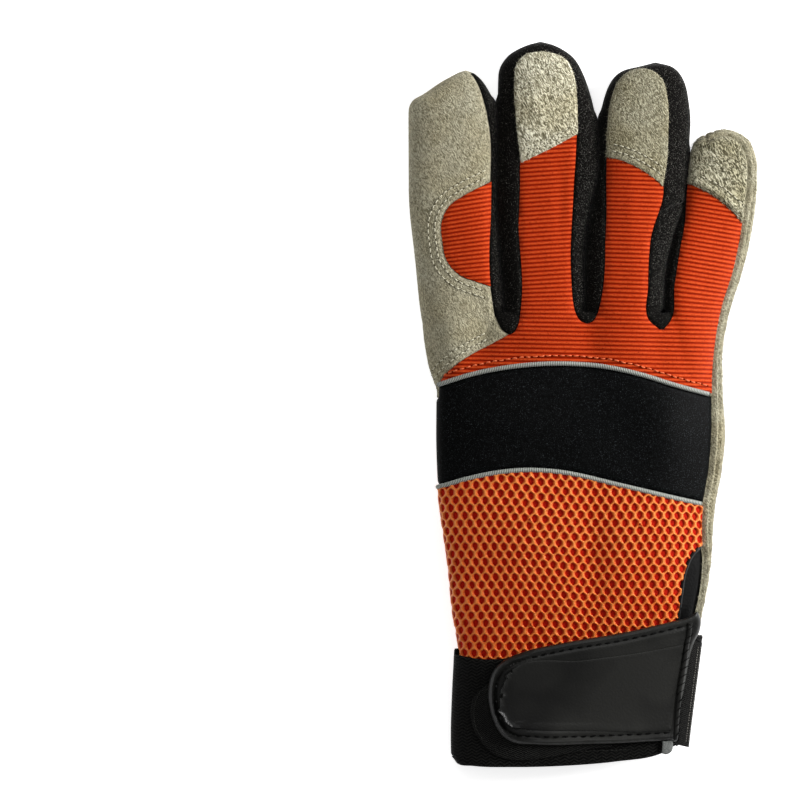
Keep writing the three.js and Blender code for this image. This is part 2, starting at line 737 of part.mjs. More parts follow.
// One finger's strip of palm leather.
function palmStrip(rows, share) {
  const place = (row, part) => row.left + (row.right - row.left) * part;
  const tip = lastOf(rows);
  const isAlong = (row) => row.y > palmCrotchY + stripRootRise && row.y < tip.y - stripTipDrop;
  const upper = rows.filter(isAlong);
  const nearTip = rows[rows.length - 2];
  const edge = (root, part, end) => [
    { x: place(rows[1], root), y: palmCrotchY - stripRootLap },
    ...upper.map((row) => ({ x: place(row, part), y: row.y })),
    { x: place(nearTip, end), y: tip.y + share.beyond },
  ];
  const left = edge(share.rootFrom, share.from, share.tipFrom);
  return between(edge(share.rootTo, share.to, share.tipTo), left);
}
const palmStrips = fingers.map((rows, i) => palmStrip(rows, palmShare[i]));
const palmZoneEdges = [-44, ...fingerMiddles, 51];
const palmSideWallPlan = (i) => [
  { x: palmZoneEdges[i] + gap / 2, y: palmCrotchY },
  { x: palmZoneEdges[i + 1] - gap / 2, y: palmCrotchY },
  { x: palmZoneEdges[i + 1] - gap / 2, y: reach },
  { x: palmZoneEdges[i] + gap / 2, y: reach },
];
const palmPlan = [
  { x: -far, y: palmCrotchY - gap },
  { x: -far, y: belowHand },
  { x: far, y: belowHand },
  { x: far, y: palmCrotchY - gap },
];

// Every outline as a prism, and the same with the gap added all round
const fit = {};
const room = {};
const outlines = {
  capMiddle,
  capRing,
  capLittle,
  indexOval,
  roll: rollPlan,
  wrap: wrapPlan,
  wrapPalm: wrapPalmPlan,
  pipingUpper: pipingPlan(pipingUpperLine),
  pipingLower: pipingPlan(pipingLowerLine),
};
sideWallPlans.forEach((plan, i) => (outlines["sideWall" + i] = plan));
palmStrips.forEach((plan, i) => (outlines["strip" + i] = plan));
for (const [name, points] of Object.entries(outlines)) {
  fit[name] = prism(points);
  room[name] = prism(grown(points, gap));
}
const rooms = (names) => names.map((name) => room[name]);
const capNames = ["capMiddle", "capRing", "capLittle"];
const sideWallNames = ["sideWall0", "sideWall1", "sideWall2"];

// Pieces of the hand
const solids = {};

function wholeLeather() {
  const strips = union(palmStrips.map((_, i) => fit["strip" + i]));
  const palm = strips.add(prism(palmPlan)).subtract(room.wrapPalm);
  const onBack = cutAll(fit.wrap.add(fit.roll), rooms(["indexOval", ...sideWallNames]));
  return mainBody(shell.intersect(wrapping(onBack, palm)));
}
const handLeather = wholeLeather();
solids.palm_leather = mainBody(handLeather.subtract(prism(grown(indexRootSeam, gap))));
solids.index_leather = mainBody(handLeather.intersect(prism(indexRootSeam)));
const beside = (solid) => mainBody(roomFor(solid, handLeather));

const capShell = cutAll(handTubes(handRows, -capProud), [hollow]).intersect(wellAbove);
solids.cap_middle = beside(capShell.intersect(fit.capMiddle));
solids.cap_ring = beside(capShell.intersect(fit.capRing));
solids.cap_little = beside(capShell.intersect(fit.capLittle).subtract(room.roll));

function fingerSideWall(i) {
  const onBack = cutAll(fit["sideWall" + i], rooms(capNames));
  const onPalm = cutAll(prism(palmSideWallPlan(i)), rooms(["strip" + i, "strip" + (i + 1)]));
  return beside(shell.intersect(wrapping(onBack, onPalm)));
}
for (const i of [0, 1, 2]) {
  solids["side_wall_" + (i + 1)] = fingerSideWall(i);
}

const backShell = shell.intersect(wellAbove);
solids.index_back = mainBody(backShell.intersect(fit.indexOval).subtract(room.sideWall0));
const knitNeighbours = rooms([...capNames, ...sideWallNames, "roll", "wrap"]);
solids.back_rib = beside(cutAll(backShell.intersect(prism(knitPlan)), knitNeighbours));

// Panels that cross the back and wrap round the index side on to the palm
const wristSpace = wrapping(prism(palmPlan), fit.wrapPalm).subtract(room.roll).subtract(room.wrap);
solids.knuckle_band = beside(shell.intersect(wristSpace).intersect(prism(bandPlan)));
solids.mesh_back = beside(
  shell.intersect(wristSpace).intersect(prism(meshPlan)).subtract(prism(slitOutline)),
);
const pipedShell = shellTo(pipingProud).intersect(wristSpace);
solids.piping_upper = beside(pipedShell.intersect(fit.pipingUpper));
solids.piping_lower = beside(pipedShell.intersect(fit.pipingLower));

// The slit's lining, below the opening
function slitGusset() {
  const outer = handTubes(handRows, gussetDrop);
  const inner = handTubes(openHandRows, gussetDrop + gussetWall);
  return mainBody(outer.subtract(inner).intersect(above).intersect(prism(gussetOutline)));
}
solids.slit_gusset = slitGusset();

// Pads on the palm
function pad(outline) {
  const outer = handTubes(handRows, -gap - padDepth);
  const inner = handTubes(handRows, -gap);
  const layer = cutAll(outer, [inner, thumbRoom]).intersect(below);
  return mainBody(layer.intersect(prism(outline)));
}
solids.knuckle_pad = pad(knucklePadOutline);
solids.palm_pad = pad(palmPadOutline);

// Pieces of the thumb
const thumbAbove = halfSpace(thumbMiddle, true);
const thumbBelow = halfSpace((x, y) => thumbMiddle(x, y) + lap, false);

function thumbPieces() {
  const knitSideY = lastOf(thumbKnitEdge).y;
  const knitFloor = [{ x: far, y: reach }, ...thumbKnitEdge, { x: -far, y: knitSideY }];
  const knitFloorPlan = [...knitFloor, { x: -far, y: belowHand }, { x: far, y: belowHand }];
  const tipCorner = { x: thumbLeatherEdge[0].x, y: reach };
  const leatherSide = outward([lastOf(thumbLeatherEdge), tipCorner], -far);
  const leatherPlan = [tipCorner, ...thumbLeatherEdge, ...leatherSide];
  const rows = thumbRows.slice(1);
  const knitTurn = (row) => (row.y < thumbKnitTopY ? thumbKnitWrap : -thumbLeatherLap);
  const inner = between(
    rows.map((row) => ({ x: row.right - thumbKnitWrap, y: row.y })),
    rows.map((row) => ({ x: row.left + knitTurn(row), y: row.y })),
  );
  const space = (top, bottom) => thumbAbove.intersect(top).add(thumbBelow.intersect(bottom));
  const leather = mainBody(thumbShell.intersect(space(prism(inner), prism(leatherPlan))));
  const knitTop = prism(knitFloorPlan).add(prism(rightSide)).subtract(prism(grown(inner, gap)));
  const knit = thumbShell.intersect(space(knitTop, prism(knitFloorPlan)));
  const neighbours = [leatherPlan, knitFloorPlan].map((plan) => prism(grown(plan, gap)));
  const saddle = roomFor(cutAll(thumbShell.intersect(thumbBelow), neighbours), leather);
  const knitBody = mainBody(roomFor(roomFor(knit, leather), saddle));
  return { leather, saddle: mainBody(saddle), knit: knitBody };
}
const thumb = thumbPieces();
solids.thumb_palm = thumb.leather;
solids.thumb_saddle = thumb.saddle;
solids.thumb_back = thumb.knit;

// Cuff and closure
const openCuffRows = [
  { ...cuffRows[0], y: cuffOpenY[0] },
  ...cuffRows,
  { ...lastOf(cuffRows), y: cuffOpenY[1] },
];

function cuff() {
  const cuffHollow = tube(openCuffRows, handSides, drape, cuffWall);
  const band = tube(cuffRows, handSides, drape).subtract(cuffHollow);
  const back = prism(between(cuffHem, cuffEdgeBack)).subtract(prism(cuffSlit));
  return mainBody(band.intersect(wrapping(back, prism(between(cuffHem, cuffEdgePalm)))));
}
solids.cuff = cuff();

function closureLayer(outline, low, high) {
  const layer = tube(closureRows, handSides, drape, -high).subtract(
    tube(closureRows, handSides, drape, -low),
  );
  return layer.intersect(above).intersect(prism(outline));
}
const strapBase = 2 * gap + tapeThickness;
const strapTop = strapBase + strapThickness;
const recessFloor = strapTop - facingRecess;
solids.loop_patch = mainBody(closureLayer(loopOutline, gap, gap + tapeThickness));
solids.hook_tab = mainBody(closureLayer(tabOutline, gap, gap + tapeThickness));
const recess = closureLayer(grown(facingOutline, gap), recessFloor, strapTop + recessHeadroom);
solids.strap = mainBody(closureLayer(strapOutline, strapBase, strapTop).subtract(recess));
solids.strap_facing = mainBody(
  closureLayer(facingOutline, recessFloor + gap, recessFloor + gap + facingThickness),
);

// Materials
const finishes = {
  suede: { color: 0xb4b09c, roughness: 0.95, metalness: 0 },
  paleSuede: { color: 0xc6c8c6, roughness: 0.95, metalness: 0 },
  knit: { color: 0xe2501c, roughness: 0.8, metalness: 0 },
  mesh: { color: 0xf0702c, roughness: 0.8, metalness: 0 },
  jersey: { color: 0x17171a, roughness: 0.95, metalness: 0 },
  neoprene: { color: 0x121315, roughness: 0.75, metalness: 0 },
  webbing: { color: 0x101012, roughness: 0.9, metalness: 0 },
  vinyl: { color: 0x1d1f20, roughness: 0.5, metalness: 0 },
  gripPad: { color: 0x141414, roughness: 0.6, metalness: 0 },
  cord: { color: 0xa3a8a4, roughness: 0.6, metalness: 0 },
};
const pieceFinish = {
  palm_leather: "suede",
  index_leather: "suede",
  index_back: "knit",
  back_rib: "knit",
  cap_middle: "suede",
  cap_ring: "suede",
  cap_little: "suede",
  side_wall_1: "jersey",
  side_wall_2: "jersey",
  side_wall_3: "jersey",
  piping_upper: "cord",
  piping_lower: "cord",
  knuckle_band: "neoprene",
  mesh_back: "mesh",
  slit_gusset: "vinyl",
  cuff: "webbing",
  loop_patch: "webbing",
  strap: "vinyl",
  strap_facing: "vinyl",
  hook_tab: "webbing",
  thumb_back: "knit",
  thumb_saddle: "paleSuede",
  thumb_palm: "suede",
  knuckle_pad: "gripPad",
  palm_pad: "gripPad",
};
const materials = {};
for (const [name, values] of Object.entries(finishes)) {
  materials[name] = new THREE.MeshStandardMaterial(values);
}

// The solid is read back from its rounded mesh, because rounding can part off a speck.
function geometryOf(solid) {
  const mesh = mainBody(new wasm.Manifold(solid.getMesh())).getMesh();
  const geometry = new THREE.BufferGeometry();
  geometry.setAttribute("position", new THREE.BufferAttribute(mesh.vertProperties, 3));
  geometry.setIndex(new THREE.BufferAttribute(mesh.triVerts, 1));
  return geometry;
}

const glove = new THREE.Group();
for (const [name, finish] of Object.entries(pieceFinish)) {
  const mesh = new THREE.Mesh(geometryOf(solids[name]), materials[finish]);
  mesh.name = name;
  glove.add(mesh);
}
const footprint = new THREE.Box3().setFromObject(glove);
const centre = footprint.getCenter(new THREE.Vector3());
glove.position.set(-centre.x, -centre.y, -footprint.min.z);

export default glove;
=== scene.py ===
import math

import bmesh
import bpy
import numpy as np
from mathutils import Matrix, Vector
from mathutils.bvhtree import BVHTree
from mathutils.geometry import delaunay_2d_cdt
from mathutils.kdtree import KDTree


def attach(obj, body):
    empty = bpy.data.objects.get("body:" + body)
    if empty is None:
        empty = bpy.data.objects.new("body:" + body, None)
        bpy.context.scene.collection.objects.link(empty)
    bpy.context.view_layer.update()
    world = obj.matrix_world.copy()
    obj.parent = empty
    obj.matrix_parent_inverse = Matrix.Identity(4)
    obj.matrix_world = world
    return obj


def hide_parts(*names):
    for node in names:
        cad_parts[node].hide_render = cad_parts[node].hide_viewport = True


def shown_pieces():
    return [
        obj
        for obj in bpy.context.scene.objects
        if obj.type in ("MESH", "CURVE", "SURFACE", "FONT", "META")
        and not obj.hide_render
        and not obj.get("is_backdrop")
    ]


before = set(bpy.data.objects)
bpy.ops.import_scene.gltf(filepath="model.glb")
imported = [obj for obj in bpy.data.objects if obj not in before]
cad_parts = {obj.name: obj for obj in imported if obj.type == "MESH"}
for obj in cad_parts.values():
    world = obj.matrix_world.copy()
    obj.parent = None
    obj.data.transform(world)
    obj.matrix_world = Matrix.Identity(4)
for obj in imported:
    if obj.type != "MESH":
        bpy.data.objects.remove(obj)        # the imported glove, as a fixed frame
for leftover in ("Cube", "Light", "Camera"):
    if leftover in bpy.data.objects:
        bpy.data.objects.remove(bpy.data.objects[leftover])
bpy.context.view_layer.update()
print("frame loaded")

mm = 0.001  # in metres

# Sizes are in millimetres, in the pattern's own plan: X to the little-finger side, Y to the
# fingertips
pattern = {
    "middle": (0.095, -0.2),  # of the footprint, which is the frame's origin
    "wall": 1.5,
    "cuffWall": 1.4,
    "seam": 0.12,  # open line between two panels
    "lap": 0.02,
    "pipingHalf": 0.62,
    "squareness": 2.5,  # of a flattened section: 2 is an ellipse
    "handRatio": 0.17,  # depth over width, which spaces a section's points
    "fingerRatio": 0.42,
    "thumbRatio": 0.25,
    "cuffRatio": 0.18,
    "fingerDepth": 7.4,
    "far": 75,  # plan lines run out to here beside the hand,
    "reach": 130,  # here past the fingertips
    "belowHand": -100,  # and here at the wrist
    "openEnd": -104,  # a hollow runs out to here
    "skinStep": 1.15,  # mesh spacing of the visible skin
    "liningStep": 3.4,
}

# y, left, right and half the depth
handRows = [
    (-95, -41.4, 36.6, 6.2), (-87, -42.1, 38.0, 6.7), (-70, -44.9, 41.2, 7.9),
    (-57, -46.1, 43.5, 8.4), (-34, -49.3, 45.6, 8.6), (-24, -50.3, 47.6, 8.6),
    (-10, -50.7, 49.0, 8.5), (3, -50.6, 48.2, 8.3), (14, -53.4, 48.0, 8.0),
    (23, -54.9, 48.6, 7.4), (29, -55.4, 49.4, 6.6), (32, -55.0, 49.2, 5.2),
]
# y, left and right; the last row closes the tip
indexRows = [
    (4, -46.0, -31.0), (18, -52.4, -27.6), (30, -55.7, -27.2), (50, -57.9, -28.9),
    (74, -60.1, -30.2), (101, -60.2, -29.7), (105, -59.0, -30.7), (107.8, -54.6, -31.9),
    (111.3, -49.6, -34.0), (113.5, -45.8, -35.9), (115.2, -42.4, -38.2),
]
middleRows = [
    (4, -26.6, -0.3), (44, -28.1, 0.0), (57, -28.9, 0.5), (70, -29.6, 2.7), (83, -29.5, 5.0),
    (98, -29.4, 4.6), (114, -29.1, 0.5), (120.5, -26.0, -3.4), (124.6, -18.8, -10.2),
]
ringRows = [
    (4, 0.5, 26.9), (44, 0.7, 27.9), (57, 1.2, 30.4), (70, 3.4, 35.1), (83, 5.7, 36.3),
    (98, 5.9, 37.4), (105, 7.2, 36.8), (110, 8.9, 35.9), (113.6, 11.2, 34.4),
    (115.8, 14.4, 32.7), (117.2, 20.0, 30.6),
]
littleRows = [
    (4, 29.5, 42.5), (18, 27.8, 47.4), (30, 27.8, 49.9), (44, 28.6, 54.4), (57, 31.2, 57.8),
    (70, 34.9, 59.8), (82, 36.8, 60.3), (90.5, 38.9, 58.0), (94.2, 45.2, 52.6),
]
# y, left, right, half the depth, height of the middle, and how far the index side is lifted
thumbRows = [
    (-81, -31.2, 9.8, 4.4, 11.0, 0), (-72, -33.0, 11.0, 4.9, 7.7, 4.0),
    (-60, -36.0, 13.8, 5.1, 5.3, 8.5), (-42, -39.6, 19.0, 5.2, 4.8, 11.0),
    (-26, -40.8, 24.2, 5.2, 4.8, 11.0), (-14, -35.5, 27.7, 5.2, 4.8, 9.0),
    (-5, -23.4, 30.3, 5.2, 4.8, 4.0), (4, -14.4, 32.8, 5.2, 4.8, 0),
    (22, -3.9, 35.6, 5.2, 4.8, 0), (30, -0.4, 35.0, 5.0, 4.7, 0),
    (35, 3.2, 31.6, 4.3, 4.3, 0), (38.6, 9.4, 25.4, 2.8, 4.0, 0),
]
cuffRows = [
    (-126, -45.4, 35.6, 7.8), (-114, -45.6, 37.2, 8.0), (-100, -45.2, 38.8, 8.3),
    (-86, -44.6, 40.4, 8.8), (-79, -45.0, 41.8, 9.1), (-68, -46.2, 42.8, 9.1),
]
# Height of the glove's middle surface above the floor: y, then at four places across the hand
drapeX = (-60, -20, 20, 60)
drapeRows = [
    (-130, 7.3, 7.4, 7.4, 7.3), (-112, 7.4, 7.5, 7.5, 7.4), (-84, 12.4, 12.9, 12.8, 11.8),
    (-60, 16.8, 17.6, 17.2, 13.4), (-35, 19.0, 20.9, 20.8, 14.0), (-5, 18.2, 20.9, 21.0, 13.8),
    (25, 13.2, 19.0, 20.9, 12.6), (45, 10.4, 15.6, 18.8, 10.8), (65, 8.2, 11.2, 14.4, 8.8),
    (90, 7.0, 7.8, 9.0, 7.2), (112, 6.8, 6.9, 7.0, 6.8), (130, 6.8, 6.8, 6.8, 6.8),
]
# Seams across the back, from the index side to the little-finger side: x, y
pipingUpperLine = [
    (-62, 3.0), (-50, 6.9), (-39, 10.4), (-25, 13.1), (-8, 14.2), (6, 13.3), (20, 10.3),
    (31, 6.9), (46, 2.9), (62, -2.0),
]
pipingLowerLine = [
    (-62, -30.5), (-50, -28.2), (-40, -25.3), (-30, -23.2), (-20, -22.3), (-9, -22.9),
    (12, -27.4), (28, -31.2), (43, -34.6), (62, -39.0),
]
rollSeam = [
    (39.0, -95), (39.2, -73), (41.2, -62), (41.7, -54), (41.0, -47), (41.2, -35), (43.1, -24),
    (44.4, -8), (44.5, 12), (46.1, 26), (48.1, 35), (51.4, 45), (53.7, 55), (55.5, 66),
    (56.9, 78), (56.3, 86), (54.2, 90.4), (50.2, 92.6), (45.8, 92.4), (42.6, 90.4), (41.2, 99),
]
# The black side walls' seams on the back, from the crotch up: left seam, right seam
sideWallSeams = [
    (
        [(-25.8, 24.3), (-28.0, 25.8), (-30.0, 29.6), (-31.0, 35), (-32.1, 45), (-32.2, 54),
         (-31.7, 64), (-31.4, 76), (-31.3, 92), (-32.3, 98.6), (-33.3, 103), (-34.5, 107.4),
         (-36.2, 111.8), (-37.5, 114), (-38.8, 115.4), (-41.4, 118), (-44.0, 130)],
        [(-25.2, 24.3), (-23.9, 25.1), (-22.8, 27), (-21.8, 32), (-21.2, 43), (-21.7, 51.6),
         (-22.3, 60.4), (-22.1, 68), (-21.8, 76), (-21.8, 82), (-21.4, 86), (-13.65, 93),
         (-13.65, 130)],
    ),
    (
        [(0.9, 28.1), (-0.4, 28.5), (-1.8, 29.8), (-2.8, 32.0), (-3.6, 36), (-4.1, 43), (-4.3, 52),
         (-4.0, 60), (-3.5, 68), (-3.0, 77), (-2.4, 85.4), (-2.0, 93), (-13.35, 104),
         (-13.35, 130)],
        [(1.3, 28.1), (2.8, 28.6), (4.2, 30.4), (5.4, 34.0), (6.8, 42), (7.5, 57), (7.9, 66),
         (7.9, 76), (8.1, 86), (18.35, 94), (18.35, 130)],
    ),
    (
        [(26.1, 26), (22.6, 29), (22.2, 41), (23.2, 57), (27.6, 76), (18.65, 92), (18.65, 130)],
        [(27.4, 26), (29.8, 29), (31.2, 41), (33.2, 53.5), (35.0, 63), (35.5, 70), (36.2, 77),
         (37.5, 86), (39.0, 90.0), (41.4, 91.4), (41.4, 130)],
    ),
]
capMiddle = [
    (-21.4, 83.6), (-11.6, 88.2), (-1.7, 93.6), (-1.9, 105.4), (-3.0, 114.2), (-5.4, 119.2),
    (-9.4, 121.4), (-15.4, 122.1), (-20.0, 121.0), (-22.8, 118.0), (-23.7, 112.0),
    (-23.4, 101.0), (-22.3, 90.0),
]
capRing = [
    (7.9, 85.6), (13.0, 84.4), (18.4, 82.0), (23.6, 78.8), (27.5, 75.4), (28.9, 83.0),
    (29.5, 94.0), (29.3, 105.6), (27.8, 111.8), (24.6, 115.2), (20.0, 116.4), (15.8, 115.4),
    (12.0, 111.8), (9.6, 105.6), (8.3, 97.0),
]
capLittle = [
    (36.0, 76.6), (39.0, 75.2), (45.2, 71.9), (50.8, 67.3), (56.2, 61.6), (62.0, 70.0),
    (62.0, 99.0), (45.0, 99.0), (43.0, 97.0), (40.5, 93.2), (38.6, 90.8), (37.6, 88.0),
    (36.9, 84.0), (36.6, 80.0),
]
indexOval = [
    (-25, 80.2), (-33, 76.3), (-40.6, 72.4), (-46.2, 68.4), (-48.6, 63.4), (-48.5, 56.4),
    (-46.9, 49.6), (-42.8, 45.0), (-36.0, 42.2), (-25, 39.0),
]
leatherHem = [
    (-27.0, 23.6), (-31.4, 21.2), (-38.6, 17.4), (-44.2, 13.6), (-48.8, 9.0), (-50.2, 5.6),
    (-50.4, 2.6), (-62, 2.2),
]
slitOutline = [
    (42.4, -47.8), (40.2, -48.8), (37.6, -51.4), (35.2, -56.6), (33.6, -66.0), (32.6, -74.0),
    (31.0, -92.0), (38.9, -92.0), (39.2, -73.0), (41.2, -62.0), (42.2, -54.0),
]
gussetOutline = [
    (43.4, -44.0), (35.4, -48.6), (32.0, -56.0), (30.0, -70.0), (29.0, -84.0), (42.0, -84.0),
    (43.6, -60.0),
]
wrapPalmEdge = [(-41.4, 6), (-41.4, -29), (-31.4, -81), (-31.4, -95)]
thumbKnitEdge = [
    (24.6, 45), (24.0, 30), (20.8, 17.3), (16.2, 6.9), (9.8, -3.2), (2.4, -11.4),
    (-6.2, -17.8), (-16.6, -23.2), (-27.0, -26.9), (-44.0, -28.4),
]
thumbLeatherEdge = [
    (5.4, 45), (11.4, 34.0), (12.8, 28.2), (11.2, 20.6), (5.9, 13.8), (-3.4, 7.2),
    (-13.8, 0.2), (-24.0, -6.4), (-50.0, -12.0),
]
# Share of each finger's width that the palm leather takes: at the root, along it and at the tip,
# and how far it runs past the tip
palmShare = [
    ((-1, 0.93), (-1, 0.86), (-1, 0.66), 9),
    ((0.05, 0.93), (0.12, 0.72), (0.28, 0.62), -2.4),
    ((0.05, 0.92), (0.1, 0.68), (0.26, 0.6), -2.4),
    ((0.08, 2), (0.36, 2), (0.3, 2), 9),
]
palmCrotchY = 29.6
palmZoneEdges = (-44, -13.5, 18.5, 51)
cuffHem = [
    (-50, -120.4), (-45.2, -121.6), (-43.4, -123.9), (-38, -124.7), (-24, -125.0), (-8, -124.6),
    (12, -123.0), (26, -120.8), (31.6, -118.4), (34.0, -117.4), (37.0, -118.4), (50, -118.8),
]
cuffEdgeBack = [
    (-50, -85.0), (-43, -86.4), (-36, -87.6), (-28, -87.5), (-20, -86.4), (0, -83.6), (30, -79.6),
    (50, -79.6),
]
cuffEdgePalm = [(-50, -84.2), (-40, -84.0), (-34, -81.5), (50, -81.4)]
cuffSlit = [(29.8, -132), (31.6, -76), (33.8, -76), (32.0, -132)]
strapOutline = [
    (39.2, -71.0), (36.4, -72.8), (29.5, -74.6), (13.0, -78.3), (-6.8, -81.7), (-21.3, -85.1),
    (-26.7, -87.4), (-31.0, -91.4), (-32.6, -96.5), (-32.8, -101.0), (-32.0, -106.0),
    (-30.4, -110.5), (-27.9, -114.3), (-24.4, -116.4), (-16.0, -117.2), (0, -117.0),
    (13.0, -116.6), (31.9, -115.6), (34.8, -98.0), (38.4, -81.4), (40.0, -78.0), (40.4, -73.6),
]
facingOutline = [
    (34.6, -82.2), (20.0, -84.9), (0.0, -87.6), (-24.0, -90.4), (-26.4, -92.4), (-28.0, -96.3),
    (-28.6, -101.6), (-29.0, -105.0), (-27.4, -108.8), (-25.4, -110.9), (-19.8, -111.8),
    (0.0, -112.3), (20.0, -112.7), (30.6, -112.3),
]
loopOutline = [(10, -97), (-34, -97), (-37.4, -100.4), (-37.6, -112), (-34.4, -117.2), (10, -118.2)]
tabOutline = [(34.6, -81.0), (41.2, -82.0), (36.8, -118.4), (31.2, -117.0)]
knucklePadOutline = [
    (-42.6, 40.0), (-41.4, 43.6), (-38.6, 46.6), (-35.0, 47.2), (-31.6, 45.6), (-29.0, 41.6),
    (-25.4, 35.2), (-22.4, 32.0), (-19.0, 31.0), (-16.0, 32.0), (-14.0, 35.4), (-12.9, 41.0),
    (-12.4, 47.6), (-11.2, 51.4), (-8.6, 53.4), (-5.4, 53.2), (-2.6, 51.0), (-0.8, 47.4),
    (2.6, 38.6), (5.2, 34.4), (8.2, 32.8), (11.2, 33.8), (13.0, 37.0), (15.0, 43.6),
    (17.0, 48.2), (19.8, 50.6), (23.0, 50.4), (25.6, 47.6), (28.0, 41.6), (30.2, 36.4),
    (32.6, 33.2), (35.6, 31.8), (38.4, 32.8), (40.8, 36.4), (43.0, 42.0), (45.2, 45.6),
    (47.0, 46.4), (48.8, 45.8), (49.8, 43.6), (49.6, 36.0), (47.8, 26.0), (45.4, 18.0),
    (42.0, 14.0), (36.0, 12.4), (-23.0, 6.6), (-30.4, 9.6), (-37.0, 17.0), (-40.8, 27.4),
]
palmPadOutline = [
    (12.0, 2.2), (44.0, 2.2), (46.0, 0.0), (44.8, -24.0), (41.6, -54.0), (39.0, -58.6),
    (30.0, -61.0), (12.0, -62.4), (8.0, -40.0),
]


# Smooth curves through a table's stops that never overshoot them
def smoothAlong(stops, values, at):
    stops, values = np.asarray(stops, float), np.asarray(values, float)
    steps = np.diff(stops)
    grades = np.diff(values) / steps
    slopes = np.zeros(len(stops))
    slopes[0], slopes[-1] = grades[0], grades[-1]
    for i in range(1, len(stops) - 1):
        if grades[i - 1] * grades[i] > 0:
            before, after = 2 * steps[i] + steps[i - 1], steps[i] + 2 * steps[i - 1]
            slopes[i] = (before + after) / (before / grades[i - 1] + after / grades[i])
    at = np.clip(np.asarray(at, float), stops[0], stops[-1])
    i = np.clip(np.searchsorted(stops, at, side="right") - 1, 0, len(steps) - 1)
    t = (at - stops[i]) / steps[i]
    rise = values[i] * (1 + 2 * t) * (1 - t) ** 2 + values[i + 1] * t * t * (3 - 2 * t)
    return rise + steps[i] * (slopes[i] * t * (1 - t) ** 2 - slopes[i + 1] * t * t * (1 - t))


# The way travelled after each of these steps
def summed(steps):
    return np.concatenate([[0], np.cumsum(steps)])


# A hill across a distance, or a valley when its height is negative
def hill(at, middle, width, height):
    return height * np.exp(-(((at - middle) / width) ** 2))


# A line through plan points as a dense curve; it stays sharp where it turns by more than sharp
# degrees
def curveThrough(points, step=0.7, closed=False, sharp=48):
    corners = np.array(points, float)
    ring = np.vstack([corners, corners[:1]]) if closed else corners
    runs = np.diff(ring, axis=0)
    lengths = np.maximum(np.hypot(*runs.T), 1e-6)
    units = runs / lengths[:, None]
    pieces = len(runs)
    dense = []
    tangents = []
    for i in range(len(ring)):
        before = (i - 1) % pieces if closed else max(i - 1, 0)
        after = i % pieces if closed else min(i, pieces - 1)
        bend = np.clip(units[before] @ units[after], -1, 1)
        blend = units[before] / lengths[before] + units[after] / lengths[after]
        isSharp = math.degrees(math.acos(bend)) > sharp
        tangents.append(None if isSharp else blend / max(np.linalg.norm(blend), 1e-9))
    for i in range(pieces):
        start, end = ring[i], ring[i + 1]
        leave = units[i] if tangents[i] is None else tangents[i]
        arrive = units[i] if tangents[i + 1] is None else tangents[i + 1]
        parts = max(1, int(round(lengths[i] / step)))
        t = (np.arange(parts) / parts)[:, None]
        dense.append(
            start * (1 + 2 * t) * (1 - t) ** 2 + end * t * t * (3 - 2 * t)
            + lengths[i] * (leave * t * (1 - t) ** 2 - arrive * t * t * (1 - t))
        )
    if not closed:
        dense.append(ring[-1:])
    return np.vstack(dense)


drapeTable = np.array(drapeRows, float)
drapeFineY = np.linspace(drapeTable[0, 0], drapeTable[-1, 0], 521)
drapeColumns = np.array([
    smoothAlong(drapeTable[:, 0], drapeTable[:, i + 1], drapeFineY) for i in range(len(drapeX))
])


# Height of the glove's middle surface
def drape(x, y):
    place = np.clip((np.asarray(x, float) - drapeX[0]) / (drapeX[1] - drapeX[0]), 0, 3 - 1e-9)
    i = place.astype(int)
    t = place - i
    t = t * t * (3 - 2 * t)
    heights = np.array([np.interp(y, drapeFineY, column) for column in drapeColumns])
    index = np.arange(place.size).reshape(place.shape)
    low = heights.reshape(4, -1)[i.ravel(), index.ravel()].reshape(place.shape)
    high = heights.reshape(4, -1)[i.ravel() + 1, index.ravel()].reshape(place.shape)
    return low + (high - low) * t


# Soft hills (+) and valleys (-) of the back: x, y, half length along X and Y, height
swells = [
    (2, 22, 5, 12, -1.0), (25.5, 20, 5, 12, -0.9), (-24, 19, 5, 9, -0.7),
    (-13, 22, 9, 12, 0.5), (13, 20, 8, 12, 0.5), (37, 16, 6, 14, 0.5),
    (-7.5, 68, 2.2, 18, -0.6), (16.5, 64, 3.0, 16, 0.35),
    (-20, -6, 16, 9, 0.7), (14, -12, 9, 10, -0.7), (30, -8, 8, 12, 0.8), (-38, -12, 8, 12, 0.3),
    (3, -52, 5, 22, -0.8), (14, -50, 7, 20, 0.7), (-18, -46, 10, 18, 0.5), (-33, -60, 7, 14, -0.4),
    (28, -62, 5, 14, 0.5), (-48, 28, 9, 15, 1.8), (-34, 25, 6, 12, -1.8), (-46, 92, 9, 12, 0.4),
    (-17, 104, 5, 14, 0.8),
]


def swell(x, y):
    total = np.zeros(np.broadcast(x, y).shape)
    for cx, cy, rx, ry, height in swells:
        total += height * np.exp(-(((x - cx) / rx) ** 2) - ((y - cy) / ry) ** 2)
    return total


thumbTable = np.array(thumbRows, float)


# Height of the folded thumb's middle surface; its index side rises into the palm
def thumbMiddle(x, y):
    left, right, _, middle, rise = (
        smoothAlong(thumbTable[:, 0], thumbTable[:, i], y) for i in range(1, 6)
    )
    start = (left + right) / 2
    t = np.clip((start - x) / (start - left), 0, 1.2)
    return middle + rise * t * t


# A sine or cosine for a section between an ellipse and a rectangle
def flattened(value):
    return np.sign(value) * np.abs(value) ** (2 / pattern["squareness"])


# Angles round a flattened section that space its points evenly
def evenAngles(sides, ratio):
    fine = np.linspace(0, 2 * math.pi, 1441)
    x, z = flattened(np.cos(fine)), ratio * flattened(np.sin(fine))
    travelled = summed(np.hypot(np.diff(x), np.diff(z)))
    return np.interp((np.arange(sides) + 0.5) / sides * travelled[-1], travelled, fine)


